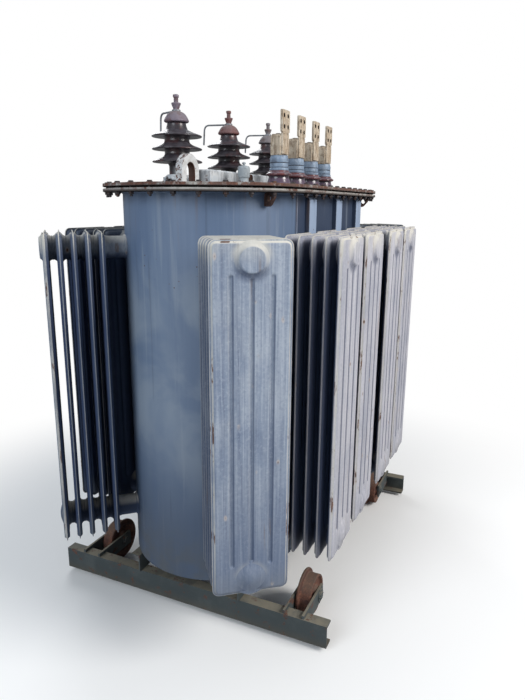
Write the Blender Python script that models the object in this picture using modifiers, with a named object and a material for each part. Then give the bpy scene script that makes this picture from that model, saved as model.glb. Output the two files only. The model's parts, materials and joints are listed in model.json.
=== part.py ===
"""Oil-filled power transformer with an obround tank.

A bolted lid carries three high-voltage and four low-voltage bushings. Twelve
panel radiators stand round the wall, and a channel base carries four rollers.

Metres, +Z up. X runs along the tank and Y across it. The near end is at -X and
the low-voltage side at -Y. The rollers stand on z = 0 below the tank's centre.
"""

import math

import bmesh
import bpy
from mathutils import Matrix, Vector

# General
GAP = 0.0003                 # between pieces that touch
ARC_STEPS = 12               # facets on each rounded end of the tank
TURN_STEPS = 12              # facets on a turned insulator
PIPE_STEPS = 8               # facets on a header pipe

# Tank
TANK_RADIUS = 0.375          # half width, and radius of the rounded ends
TANK_STRAIGHT = 0.88         # length of the flat sides
TANK_FLOOR = 0.200           # underside of the tank above the ground
TANK_HEIGHT = 1.589          # from the underside to the flange
WALL = 0.006
FLOOR_PLATE = 0.008
RIB_DEPTH = 0.022
RIB_WIDTH = 0.087
RIB_FOOT = 0.149             # from the underside of the tank up to a rib
RIB_DROP = 0.080             # from the flange down to a rib
RIB_CHAMFER = 0.012
RIB_PLACES = (-0.305, 0.055, 0.385)

# Flange, gasket and lid
RIM_REACH = 0.077            # of the flange and lid beyond the wall
FLANGE_PLATE = 0.012
GASKET = 0.006
GASKET_REACH = 0.040
LID_PLATE = 0.012

# Radiators
PANEL_COUNT = 5
PANEL_PITCH = 0.052
PANEL_WIDTH = 0.283
PANEL_ABOVE_FLOOR = 0.158    # from the underside of the tank up to the panels
PANEL_BELOW_RIM = 0.151      # from the flange down to the panels
PANEL_THICK = 0.022
PANEL_RIM = 0.0035           # thickness of the welded edge
PANEL_SLOPE = 0.014          # from the welded edge up to the panel's face
PANEL_CORNER = 0.028
GROOVE_COUNT = 3
GROOVE_WIDTH = 0.010
GROOVE_DEPTH = 0.005
GROOVE_END = 0.120           # from the panel's ends to the grooves' points
HEADER_RADIUS = 0.0445
HEADER_INSET = 0.065         # from the panel's ends to the header's axis
PLUG_LIP = 0.002             # of the header beyond the outermost panel
PLUG_HEIGHT = 0.006
RIGHT_PLACES = (-0.545, -0.210, 0.210, 0.545)     # along the flat sides
LEFT_PLACES = (-0.505, -0.185, 0.185, 0.505)
END_STAND = 0.048            # how much farther from the wall the end radiators stand
END_ANGLE_RIGHT = 39.0       # of an end radiator, from the tank's long axis
END_ANGLE_LEFT = 47.0

# High-voltage bushings
HV_PITCH = 0.466
HV_CLEAR = 0.053              # between a clamp and the duct
HV_CLAMP_RADIUS = 0.062
HV_CLAMP_HEIGHT = 0.045
HV_COLUMN_RADIUS = 0.036
HV_CORE_RADIUS = 0.052
HV_SHED_RADIUS = 0.105
HV_SHED_COUNT = 3
HV_SHED_PITCH = 0.051
HV_FIRST_SHED = 0.096        # rim of the lowest shed above the lid
HV_NECK_RADIUS = 0.030
HV_INSULATOR_TOP = 0.254
HV_CAP_RADIUS = 0.047
HV_CAP_HEIGHT = 0.045
HV_NUT_RADIUS = 0.020
HV_NUT_HEIGHT = 0.022
HV_STUD_RADIUS = 0.009
HV_STUD_HEIGHT = 0.042
HORN_RADIUS = 0.004
HORN_REACH = 0.140
HORN_DROP = 0.095
HORN_TURNS = (62.0, 90.0, 90.0)      # each horn's direction from the X axis

# Low-voltage bushings
LV_COUNT = 4
LV_PITCH = 0.188
LV_MIDDLE = -0.017
LV_INSET = 0.217              # from the lid's long edge
LV_FOOT_RADIUS = 0.058
LV_SKIRT_RADIUS = 0.042
LV_SKIRT_HEIGHT = 0.044
LV_SHED_RADIUS = 0.056
LV_SHED_HEIGHT = 0.020
LV_COLLAR_RADIUS = 0.0365
LV_COLLAR_HEIGHT = 0.060
LV_BLOCK_WIDTH = 0.075
LV_BLOCK_DEPTH = 0.050
LV_BLOCK_HEIGHT = 0.086
LV_BLADE_WIDTH = 0.080
LV_BLADE_HEIGHT = 0.092
LV_BLADE_THICK = 0.010
LV_STUD_RADIUS = 0.012
LV_STUD_HEIGHT = 0.014

# Fittings on the lid
LUG_INSET = 0.267             # from the lid's near end, as for the next three
LUG_ACROSS = 0.014
LUG_LENGTH = 0.126
LUG_HEIGHT = 0.114
LUG_BAR = 0.032
DUCT_INSET = 0.347
DUCT_LENGTH = 0.860
DUCT_WIDTH = 0.090
DUCT_HEIGHT = 0.060
VENT_INSET = 0.472
VENT_ACROSS = -0.130
VENT_RADIUS = 0.026
VENT_HEIGHT = 0.080
KNOB_RADIUS = 0.008
KNOB_HEIGHT = 0.014           # above the vent
POCKET_INSET = 0.592
POCKET_ACROSS = -0.100
POCKET_RADIUS = 0.021
POCKET_HEIGHT = 0.051

# Lifting eyes under the flange
HOOK_ANGLE_RIGHT = 60.0      # from the tank's long axis
HOOK_ANGLE_LEFT = 86.0
HOOK_REACH = 0.055
HOOK_HEIGHT = 0.052
HOOK_PLATE = 0.014
HOOK_EYE = 0.024

# Base frame
BEAM_UNDER = 0.115           # of a cross beam's open side inside the tank's end
BEAM_WIDTH = 0.050
BEAM_HEIGHT = 0.100
BEAM_OVERHANG = 0.098        # of a cross beam beyond the outer fork plates
BEAM_WEB = 0.006
BEAM_FLANGE = 0.009
SKID_ACROSS = 0.250
SKID_WIDTH = 0.045
SKID_HEIGHT = 0.080
SKID_OVERHANG = 0.010         # beyond each cross beam

# Rollers
ROLLER_RADIUS = 0.100        # over the flange
ROLLER_TREAD = 0.084
ROLLER_WIDTH = 0.062
ROLLER_FLANGE = 0.014
ROLLER_HUB = 0.034
ROLLER_DISH = 0.010          # how far the web lies inside the hub and tread
ROLLER_INSET = 0.155          # from a cross beam's open side to the axle
ROLLER_GAUGE = 1.030
ROLLER_STEPS = 16
AXLE_RADIUS = 0.018
AXLE_STEPS = 8
AXLE_PLAY = 0.0004
FORK_CLEAR = 0.006           # between a roller and its fork
FORK_PLATE = 0.010
FORK_HEIGHT = 0.070

# Heights and places that follow
TANK_TOP = TANK_FLOOR + TANK_HEIGHT
FLANGE_LOW = TANK_TOP + GAP
GASKET_LOW = FLANGE_LOW + FLANGE_PLATE + GAP
LID_LOW = GASKET_LOW + GASKET + GAP
LID_TOP = LID_LOW + LID_PLATE
HALF_STRAIGHT = TANK_STRAIGHT / 2
LID_REACH = TANK_RADIUS + RIM_REACH
LID_END = HALF_STRAIGHT + LID_REACH
HV_ACROSS = DUCT_WIDTH / 2 + HV_CLEAR + HV_CLAMP_RADIUS
LV_ACROSS = LV_INSET - LID_REACH
LUG_PLACE = (LUG_INSET - LID_END, LUG_ACROSS)
DUCT_START = DUCT_INSET - LID_END
VENT_PLACE = (VENT_INSET - LID_END, VENT_ACROSS)
POCKET_PLACE = (POCKET_INSET - LID_END, POCKET_ACROSS)
BEAM_INNER = HALF_STRAIGHT + TANK_RADIUS - BEAM_UNDER
SKID_LENGTH = 2 * (BEAM_INNER + BEAM_WIDTH + SKID_OVERHANG)
ROLLER_ALONG = BEAM_INNER - ROLLER_INSET
PANEL_FOOT = TANK_FLOOR + PANEL_ABOVE_FLOOR
PANEL_TOP = TANK_TOP - PANEL_BELOW_RIM
BEAM_TOP = TANK_FLOOR - 2 * GAP - SKID_HEIGHT
FORK_SPAN = ROLLER_WIDTH + 2 * (FORK_CLEAR + FORK_PLATE)
BEAM_LENGTH = ROLLER_GAUGE + FORK_SPAN + 2 * BEAM_OVERHANG


def clear_scene():
    """Empty the scene of objects."""
    for item in list(bpy.data.objects):
        bpy.data.objects.remove(item, do_unlink=True)


def new_collection(name):
    group = bpy.data.collections.new(name)
    bpy.context.scene.collection.children.link(group)
    return group


def new_material(name, color, roughness, metallic=0.0):
    """A Principled material with one colour."""
    mat = bpy.data.materials.new(name)
    mat.use_nodes = True
    shader = mat.node_tree.nodes["Principled BSDF"]
    shader.inputs["Base Color"].default_value = (*color, 1.0)
    shader.inputs["Roughness"].default_value = roughness
    shader.inputs["Metallic"].default_value = metallic
    mat.diffuse_color = (*color, 1.0)
    return mat


clear_scene()
PARTS = new_collection("power_transformer")
CUTTERS = new_collection("cutters")

TANK_PAINT = new_material("tank_paint", (0.17, 0.22, 0.29), 0.55)
LID_PAINT = new_material("lid_paint", (0.40, 0.38, 0.36), 0.65)
GASKET_RUBBER = new_material("gasket_rubber", (0.02, 0.02, 0.02), 0.80)
RADIATOR_PAINT = new_material("radiator_paint", (0.33, 0.36, 0.46), 0.50)
HV_GLAZE = new_material("hv_glaze", (0.050, 0.035, 0.040), 0.25)
LV_GLAZE = new_material("lv_glaze", (0.18, 0.06, 0.05), 0.30)
TERMINAL_METAL = new_material("terminal_metal", (0.46, 0.36, 0.26), 0.60, 0.4)
CAP_METAL = new_material("cap_metal", (0.30, 0.24, 0.27), 0.50, 0.3)
FITTING_PAINT = new_material("fitting_paint", (0.60, 0.61, 0.62), 0.60)
RUSTY_STEEL = new_material("rusty_steel", (0.22, 0.10, 0.06), 0.85, 0.2)
BASE_PAINT = new_material("base_paint", (0.07, 0.08, 0.09), 0.70)


def add_object(name, mesh, mat, place=(0.0, 0.0, 0.0)):
    """Put a mesh into the parts collection with its material."""
    mesh.materials.clear()
    mesh.materials.append(mat)
    item = bpy.data.objects.new(name, mesh)
    item.location = place
    PARTS.objects.link(item)
    return item


def mesh_from(item):
    """The mesh that an object shows, with its loose caps welded."""
    bpy.context.view_layer.update()
    graph = bpy.context.evaluated_depsgraph_get()
    mesh = bpy.data.meshes.new_from_object(item.evaluated_get(graph))
    form = bmesh.new()
    form.from_mesh(mesh)
    bmesh.ops.remove_doubles(form, verts=form.verts, dist=0.00001)
    form.to_mesh(mesh)
    form.free()
    return mesh


def make_guide(item):
    """Move a cutter or joined piece to the cutters collection."""
    for group in list(item.users_collection):
        group.objects.unlink(item)
    CUTTERS.objects.link(item)
    item.hide_render = True
    item.display_type = 'WIRE'


def combine(item, tools, operation):
    """Join tools to an item, or cut them from it, one Boolean for each."""
    for tool in tools:
        step = item.modifiers.new(operation.lower(), 'BOOLEAN')
        step.operation = operation
        step.solver = 'EXACT'
        step.object = tool
        make_guide(tool)
    return item


def baked(item):
    """Replace an item's modifiers by the mesh that they make."""
    mesh = mesh_from(item)
    item.modifiers.clear()
    item.data = mesh
    return item


def shade(item, degrees=40.0):
    """Smooth the round faces and keep the edges sharp."""
    item.data.shade_smooth()
    item.data.set_sharp_from_angle(angle=math.radians(degrees))
    return item


def box(name, low, high, mat):
    """A rectangular block between two corners."""
    low, high = Vector(low), Vector(high)
    mesh = bpy.data.meshes.new(name)
    form = bmesh.new()
    bmesh.ops.create_cube(form, size=1.0)
    bmesh.ops.scale(form, vec=high - low, verts=form.verts)
    bmesh.ops.translate(form, vec=(low + high) / 2, verts=form.verts)
    form.to_mesh(mesh)
    form.free()
    return add_object(name, mesh, mat)


def chamfer(item, width):
    """Bevel the sharp edges of a plain piece."""
    step = item.modifiers.new("chamfer", 'BEVEL')
    step.width = width
    step.segments = 1
    step.limit_method = 'ANGLE'
    return item


def flat_plate(name, outlines, thickness, mat, turn=None, place=(0.0, 0.0, 0.0)):
    """An outline, with any inner outlines cut out, as a plate centred on its plane."""
    curve = bpy.data.curves.new(name, 'CURVE')
    curve.dimensions = '2D'
    curve.fill_mode = 'BOTH'
    curve.extrude = thickness / 2
    for points in outlines:
        spline = curve.splines.new('POLY')
        spline.points.add(len(points) - 1)
        for spot, (x, y) in zip(spline.points, points):
            spot.co = (x, y, 0.0, 1.0)
        spline.use_cyclic_u = True
    draft = bpy.data.objects.new(name + "_outline", curve)
    PARTS.objects.link(draft)
    mesh = mesh_from(draft)
    bpy.data.objects.remove(draft, do_unlink=True)
    if turn is not None:
        mesh.transform(turn.to_4x4())
    return add_object(name, mesh, mat, place)


def level_plate(name, outlines, low, thickness, mat):
    """A flat plate that lies level, from its lower face up."""
    return flat_plate(name, outlines, thickness, mat, place=(0.0, 0.0, low + thickness / 2))


def turned(name, profile, steps, mat, place=(0.0, 0.0, 0.0), closed=False):
    """A profile of (radius, height) points, top to bottom, turned about Z."""
    mesh = bpy.data.meshes.new(name)
    form = bmesh.new()
    spots = [form.verts.new((radius, 0.0, height)) for radius, height in profile]
    for first, second in zip(spots, spots[1:]):
        form.edges.new((first, second))
    if closed:
        form.edges.new((spots[-1], spots[0]))
    form.to_mesh(mesh)
    form.free()
    item = add_object(name, mesh, mat, place)
    screw = item.modifiers.new("turn", 'SCREW')
    screw.axis = 'Z'
    screw.angle = math.tau
    screw.steps = steps
    screw.render_steps = steps
    screw.use_merge_vertices = True
    screw.merge_threshold = 0.00001
    screw.use_smooth_shade = False
    return item


def pipe(name, points, radius, mat):
    """A round rod along a line of points."""
    curve = bpy.data.curves.new(name, 'CURVE')
    curve.dimensions = '3D'
    curve.bevel_depth = radius
    curve.bevel_resolution = 1
    curve.use_fill_caps = True
    spline = curve.splines.new('POLY')
    spline.points.add(len(points) - 1)
    for spot, point in zip(spline.points, points):
        spot.co = (*point, 1.0)
    draft = bpy.data.objects.new(name + "_line", curve)
    PARTS.objects.link(draft)
    mesh = mesh_from(draft)
    bpy.data.objects.remove(draft, do_unlink=True)
    return add_object(name, mesh, mat)


def arc(radius, start, end, steps, centre=(0.0, 0.0)):
    """Points on an arc, from one angle to another in degrees."""
    turns = [math.radians(start + (end - start) * k / steps) for k in range(steps + 1)]
    return [(centre[0] + radius * math.cos(t), centre[1] + radius * math.sin(t)) for t in turns]


def obround(radius):
    """The outline of the tank at one radius: two straight sides and two round ends."""
    far = arc(radius, -90.0, 90.0, ARC_STEPS, (HALF_STRAIGHT, 0.0))
    near = arc(radius, 90.0, 270.0, ARC_STEPS, (-HALF_STRAIGHT, 0.0))
    return far + near


# The tank and its lid


def build_tank():
    """The wall with its ribs, the floor, the flange, the gasket and the lid."""
    inner = obround(TANK_RADIUS - WALL)
    wall = level_plate("tank_wall", [obround(TANK_RADIUS), inner], TANK_FLOOR, TANK_HEIGHT, TANK_PAINT)
    ribs = []
    rib_high = TANK_TOP - RIB_DROP
    for side in (-1, 1):
        for number, x in enumerate(RIB_PLACES):
            middle = side * TANK_RADIUS
            low = (x - RIB_WIDTH / 2, middle - RIB_DEPTH, TANK_FLOOR + RIB_FOOT)
            high = (x + RIB_WIDTH / 2, middle + RIB_DEPTH, rib_high)
            rib = chamfer(box(f"rib_{number}_{side}", low, high, TANK_PAINT), RIB_CHAMFER)
            ribs.append(baked(rib))
    space = level_plate("tank_space", [inner], TANK_FLOOR - WALL, TANK_HEIGHT + 2 * WALL, TANK_PAINT)
    combine(wall, ribs, 'UNION')
    combine(wall, [space], 'DIFFERENCE')

    floor_outline = obround(TANK_RADIUS - WALL - GAP)
    level_plate("tank_floor", [floor_outline], TANK_FLOOR, FLOOR_PLATE, TANK_PAINT)

    rim = obround(LID_REACH)
    level_plate("tank_flange", [rim, inner], FLANGE_LOW, FLANGE_PLATE, LID_PAINT)
    gasket = obround(TANK_RADIUS + GASKET_REACH)
    level_plate("lid_gasket", [gasket, inner], GASKET_LOW, GASKET, GASKET_RUBBER)
    level_plate("lid", [rim], LID_LOW, LID_PLATE, LID_PAINT)


# The radiators


def panel_mesh(name, grooved):
    """One pressed panel, centred on x = 0: a welded rim, a raised body, long grooves."""
    plate = box(name, (-PANEL_RIM / 2, -PANEL_WIDTH / 2, PANEL_FOOT),
                (PANEL_RIM / 2, PANEL_WIDTH / 2, PANEL_TOP), RADIATOR_PAINT)
    form = bmesh.new()
    form.from_mesh(plate.data)
    corners = [e for e in form.edges if abs(e.verts[0].co.x - e.verts[1].co.x) > PANEL_RIM / 2]
    bmesh.ops.bevel(form, geom=corners, offset=PANEL_CORNER, segments=1, affect='EDGES')
    faces = [f for f in form.faces if abs(f.normal.x) > 0.9]
    rise = (PANEL_THICK - PANEL_RIM) / 2
    bmesh.ops.inset_individual(form, faces=faces, thickness=PANEL_SLOPE, depth=rise)
    form.to_mesh(plate.data)
    form.free()
    if grooved:
        cutters = []
        for number in range(GROOVE_COUNT):
            y = PANEL_WIDTH * ((number + 1) / (GROOVE_COUNT + 1) - 0.5)
            cutters.append(groove_cutter(f"groove_{number}", y))
        combine(plate, cutters, 'DIFFERENCE')
        baked(plate)
    return plate


def groove_cutter(name, y):
    """A long bar with pointed ends and a square section stood on its edge."""
    face = PANEL_THICK / 2
    deep, wide = GROOVE_DEPTH, GROOVE_WIDTH / 2
    low = PANEL_FOOT + GROOVE_END
    high = PANEL_TOP - GROOVE_END
    form = bmesh.new()
    bmesh.ops.create_cone(form, cap_ends=True, segments=4, radius1=1.0, radius2=1.0,
                          depth=high - low - 4 * GROOVE_WIDTH)
    caps = [f for f in form.faces if abs(f.normal.z) > 0.9]
    for cap in caps:
        point = cap.calc_center_median() + cap.normal * 2 * GROOVE_WIDTH
        poked = bmesh.ops.poke(form, faces=[cap])
        poked["verts"][0].co = point
    bmesh.ops.scale(form, vec=(deep, wide, 1.0), verts=form.verts)
    bmesh.ops.translate(form, vec=(face, y, (low + high) / 2), verts=form.verts)
    mesh = bpy.data.meshes.new(name)
    form.to_mesh(mesh)
    form.free()
    return add_object(name, mesh, RADIATOR_PAINT)


def header(name, z, start, end):
    """A header pipe along X at one height, with a plug on its outer end."""
    profile = [(0.0, end + PLUG_HEIGHT), (HEADER_RADIUS * 0.72, end + PLUG_HEIGHT),
               (HEADER_RADIUS, end), (HEADER_RADIUS, start), (0.0, start)]
    tube = turned(name, profile, PIPE_STEPS, RADIATOR_PAINT)
    baked(tube)
    facet = Matrix.Rotation(math.pi / PIPE_STEPS, 4, 'Z')
    tube.data.transform(Matrix.Rotation(math.pi / 2, 4, 'Y') @ facet)
    tube.data.transform(Matrix.Translation((0.0, 0.0, z)))
    return tube


def radiator_mesh():
    """Five panels on two headers, with x = 0 at the wall and +X pointing outward."""
    reach = PANEL_COUNT * PANEL_PITCH
    outer = panel_mesh("radiator_draft", True)
    outer.location.x = reach
    pieces = []
    for number in range(1, PANEL_COUNT):
        panel = panel_mesh(f"panel_{number}", False)
        panel.location.x = number * PANEL_PITCH
        pieces.append(panel)
    plug = reach + PANEL_THICK / 2 + PLUG_LIP
    root = -PANEL_PITCH - END_STAND
    pieces.append(header("header_low", PANEL_FOOT + HEADER_INSET, root, plug))
    pieces.append(header("header_high", PANEL_TOP - HEADER_INSET, root, plug))
    combine(outer, pieces, 'UNION')
    mesh = mesh_from(outer)
    mesh.transform(Matrix.Translation((reach, 0.0, 0.0)))
    bpy.data.objects.remove(outer, do_unlink=True)
    return mesh


def place_radiator(name, mesh, foot, degrees, envelope):
    """Stand a copy of the radiator at a point of the wall, turned about Z."""
    item = add_object(name, mesh.copy(), RADIATOR_PAINT, (foot[0], foot[1], 0.0))
    item.rotation_euler.z = math.radians(degrees)
    trim = item.modifiers.new("wall", 'BOOLEAN')
    trim.operation = 'DIFFERENCE'
    trim.solver = 'EXACT'
    trim.object = envelope
    return item


def build_radiators():
    """Four radiators on each flat side and two on each rounded end."""
    mesh = radiator_mesh()
    envelope = level_plate("wall_envelope", [obround(TANK_RADIUS + GAP)], TANK_FLOOR, TANK_HEIGHT,
                           TANK_PAINT)
    make_guide(envelope)
    rows = ((-1, "right", RIGHT_PLACES, END_ANGLE_RIGHT), (1, "left", LEFT_PLACES, END_ANGLE_LEFT))
    for side, word, places, end_angle in rows:
        for number, x in enumerate(places):
            name = f"radiator_{word}_{number + 1}"
            place_radiator(name, mesh, (x, side * TANK_RADIUS), side * 90.0, envelope)
        slant = math.radians(end_angle)
        for end, end_word in ((-1, "near"), (1, "far")):
            out = Vector((end * math.cos(slant), side * math.sin(slant)))
            foot = Vector((end * HALF_STRAIGHT, 0.0)) + (TANK_RADIUS + END_STAND) * out
            degrees = math.degrees(math.atan2(out.y, out.x))
            place_radiator(f"radiator_{end_word}_{word}", mesh, foot, degrees, envelope)


# The bushings


def hv_profile():
    """Outline of a high-voltage insulator, top to bottom: neck, sheds, column."""
    points = [(0.0, HV_INSULATOR_TOP), (HV_NECK_RADIUS, HV_INSULATOR_TOP)]
    for number in reversed(range(HV_SHED_COUNT)):
        rim = HV_FIRST_SHED + number * HV_SHED_PITCH
        top = HV_CORE_RADIUS if number < HV_SHED_COUNT - 1 else HV_NECK_RADIUS
        points.append((top, rim + 0.55 * HV_SHED_PITCH))
        points.append((HV_SHED_RADIUS, rim + 0.10 * HV_SHED_PITCH))
        points.append((HV_SHED_RADIUS * 0.96, rim - 0.06 * HV_SHED_PITCH))
        low = HV_CORE_RADIUS if number > 0 else HV_COLUMN_RADIUS
        points.append((low, rim + 0.02 * HV_SHED_PITCH))
    foot = HV_CLAMP_HEIGHT + GAP
    return points + [(HV_COLUMN_RADIUS, foot), (0.0, foot)]


def horn_points(turn):
    """The arcing horn's line: out from the cap, round an elbow, then down."""
    top = HV_INSULATOR_TOP + HV_CAP_HEIGHT * 0.85
    bend = HORN_DROP / 3
    side = [(0.0, top), (HORN_REACH - bend, top + bend / 4)]
    side += [(r, z) for r, z in arc(bend, 80.0, 0.0, 3, (HORN_REACH - bend, top - bend * 0.7))]
    side.append((HORN_REACH, top - HORN_DROP))
    angle = math.radians(turn)
    return [(r * math.cos(angle), r * math.sin(angle), z) for r, z in side]


def build_hv_bushing(number, x):
    """One high-voltage bushing: clamp ring, porcelain with sheds, cap with horn."""
    place = (x, HV_ACROSS, LID_TOP + GAP)
    edge = HV_CLAMP_HEIGHT * 0.3
    clamp = [(0.0, HV_CLAMP_HEIGHT), (HV_CLAMP_RADIUS - edge, HV_CLAMP_HEIGHT),
             (HV_CLAMP_RADIUS, HV_CLAMP_HEIGHT - edge), (HV_CLAMP_RADIUS, 0.0), (0.0, 0.0)]
    shade(baked(turned(f"hv_clamp_{number}", clamp, TURN_STEPS, FITTING_PAINT, place)))
    shade(baked(turned(f"hv_insulator_{number}", hv_profile(), TURN_STEPS, HV_GLAZE, place)))

    low = HV_INSULATOR_TOP + GAP
    dome = low + HV_CAP_HEIGHT
    nut = dome + HV_NUT_HEIGHT
    top = nut + HV_STUD_HEIGHT
    cap = [(0.0, top), (HV_STUD_RADIUS, top), (HV_STUD_RADIUS, nut), (HV_NUT_RADIUS, nut),
           (HV_NUT_RADIUS, dome), (HV_CAP_RADIUS * 0.66, dome - HV_CAP_HEIGHT * 0.16),
           (HV_CAP_RADIUS, low + HV_CAP_HEIGHT * 0.30), (HV_CAP_RADIUS * 0.80, low), (0.0, low)]
    terminal = baked(turned(f"hv_terminal_{number}", cap, TURN_STEPS, CAP_METAL, place))
    horn = pipe(f"horn_{number}", horn_points(HORN_TURNS[number - 1]), HORN_RADIUS, CAP_METAL)
    horn.location = place
    combine(terminal, [horn], 'UNION')


def build_lv_bushing(number, x):
    """One low-voltage bushing: porcelain skirt, and a collar with clamp and blade."""
    place = Vector((x, LV_ACROSS, LID_TOP + GAP))
    shed_low = LV_SKIRT_HEIGHT
    shed_top = shed_low + LV_SHED_HEIGHT
    skirt = [(0.0, shed_top), (LV_SKIRT_RADIUS, shed_top),
             (LV_SHED_RADIUS, shed_low + LV_SHED_HEIGHT * 0.4),
             (LV_SHED_RADIUS * 0.95, shed_low), (LV_SKIRT_RADIUS, shed_low),
             (LV_SKIRT_RADIUS * 1.08, LV_SKIRT_HEIGHT * 0.35), (LV_FOOT_RADIUS, 0.0), (0.0, 0.0)]
    shade(baked(turned(f"lv_insulator_{number}", skirt, TURN_STEPS, LV_GLAZE, place)))

    collar_low = shed_top + GAP
    block_low = collar_low + LV_COLLAR_HEIGHT
    block_top = block_low + LV_BLOCK_HEIGHT
    blade_top = block_top + LV_BLADE_HEIGHT
    collar_top = block_low + GAP
    collar = [(0.0, collar_top), (LV_COLLAR_RADIUS, collar_top), (LV_COLLAR_RADIUS, collar_low),
              (0.0, collar_low)]
    terminal = baked(turned(f"lv_terminal_{number}", collar, TURN_STEPS, TERMINAL_METAL, place))
    half_width, half_depth = LV_BLOCK_WIDTH / 2, LV_BLOCK_DEPTH / 2
    block = box(f"lv_block_{number}", (-half_width, -half_depth, block_low),
                (half_width, half_depth, block_top), TERMINAL_METAL)
    block.location = place
    baked(chamfer(block, 0.006))
    stud = [(0.0, block_top + LV_STUD_HEIGHT), (LV_STUD_RADIUS, block_top + LV_STUD_HEIGHT),
            (LV_STUD_RADIUS, block_top - LV_STUD_HEIGHT), (0.0, block_top - LV_STUD_HEIGHT)]
    stud = baked(turned(f"lv_stud_{number}", stud, PIPE_STEPS, TERMINAL_METAL, place))
    blade_low = block_low + 0.2 * LV_BLOCK_HEIGHT
    blade_face = -half_depth - LV_BLADE_THICK / 2
    blade = box(f"lv_blade_{number}", (-LV_BLADE_WIDTH / 2, blade_face, blade_low),
                (LV_BLADE_WIDTH / 2, blade_face + LV_BLADE_THICK, blade_top), TERMINAL_METAL)
    blade.location = place
    combine(terminal, [block, stud, blade], 'UNION')


def build_bushings():
    """Three high-voltage bushings on the left and four low-voltage ones on the right."""
    for number in (1, 2, 3):
        build_hv_bushing(number, (number - 2) * HV_PITCH)
    for number in range(LV_COUNT):
        build_lv_bushing(number + 1, LV_MIDDLE + (number - (LV_COUNT - 1) / 2) * LV_PITCH)


# The fittings on the lid and the lifting eyes


def build_lid_fittings():
    """The lifting bow, the long duct, the vent and the thermometer pocket."""
    foot = LID_TOP + GAP
    upright = Matrix.Rotation(math.pi / 2, 3, 'X')
    half = LUG_LENGTH / 2
    crown = LUG_HEIGHT - half
    outer = [(-half, 0.0), (half, 0.0)] + arc(half, 0.0, 180.0, 8, (0.0, crown))
    bow = flat_plate("lid_lifting_bow", [outer], LUG_BAR, FITTING_PAINT, upright)
    eye = half - LUG_BAR
    inner = [(-eye, LUG_BAR / 2), (eye, LUG_BAR / 2)] + arc(eye, 0.0, 180.0, 6, (0.0, crown))
    slot = flat_plate("bow_slot", [inner], LUG_BAR * 2, FITTING_PAINT, upright)
    for item in (bow, slot):
        item.location = (*LUG_PLACE, foot)
    combine(bow, [slot], 'DIFFERENCE')

    duct = box("lid_duct", (DUCT_START, -DUCT_WIDTH / 2, foot),
               (DUCT_START + DUCT_LENGTH, DUCT_WIDTH / 2, foot + DUCT_HEIGHT), FITTING_PAINT)
    chamfer(duct, 0.005)

    lip = VENT_HEIGHT * 0.3
    knob = VENT_HEIGHT + KNOB_HEIGHT
    vent = [(0.0, knob), (KNOB_RADIUS, knob), (KNOB_RADIUS, VENT_HEIGHT),
            (VENT_RADIUS * 0.85, VENT_HEIGHT), (VENT_RADIUS, VENT_HEIGHT * 0.9),
            (VENT_RADIUS, lip), (VENT_RADIUS * 0.7, lip), (VENT_RADIUS * 0.7, 0.0), (0.0, 0.0)]
    shade(baked(turned("lid_vent", vent, TURN_STEPS, FITTING_PAINT, (*VENT_PLACE, foot))))
    step = POCKET_HEIGHT / 2
    neck = POCKET_RADIUS * 0.6
    pocket = [(0.0, POCKET_HEIGHT), (neck, POCKET_HEIGHT), (neck, step), (POCKET_RADIUS, step),
              (POCKET_RADIUS, 0.0), (0.0, 0.0)]
    turned("thermometer_pocket", pocket, 6, RUSTY_STEEL, (*POCKET_PLACE, foot))


def build_hooks():
    """Four lifting eyes: plates welded upright to the rounded ends, under the flange."""
    high = TANK_TOP
    low = high - HOOK_HEIGHT
    tip = high - HOOK_HEIGHT * 0.4
    outline = [(0.0, low), (HOOK_REACH * 0.5, low), (HOOK_REACH, tip), (HOOK_REACH, high), (0.0, high)]
    middle = (HOOK_REACH * 0.5, high - HOOK_HEIGHT * 0.42)
    eye = arc(HOOK_EYE / 2, 0.0, 315.0, 7, middle)
    upright = Matrix.Rotation(math.pi / 2, 3, 'X')
    for end, end_word in ((-1, "near"), (1, "far")):
        for side, word, angle in ((-1, "right", HOOK_ANGLE_RIGHT), (1, "left", HOOK_ANGLE_LEFT)):
            slant = math.radians(angle)
            out = Vector((end * math.cos(slant), side * math.sin(slant)))
            foot = Vector((end * HALF_STRAIGHT, 0.0)) + (TANK_RADIUS + GAP) * out
            eye_plate = flat_plate(f"lifting_eye_{end_word}_{word}", [outline, eye], HOOK_PLATE,
                                   RUSTY_STEEL, upright, (foot.x, foot.y, 0.0))
            eye_plate.rotation_euler.z = math.atan2(out.y, out.x)


# The base frame and the rollers


def channel(name, width, height, web, flange, length, mat):
    """A channel beam along X: web at -Y, flanges towards +Y, standing on z = 0."""
    outline = [(0.0, 0.0), (width, 0.0), (width, flange), (web, flange),
               (web, height - flange), (width, height - flange), (width, height), (0.0, height)]
    stand = Matrix(((0.0, 0.0, 1.0), (1.0, 0.0, 0.0), (0.0, 1.0, 0.0)))
    return flat_plate(name, [outline], length, mat, stand)


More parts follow.
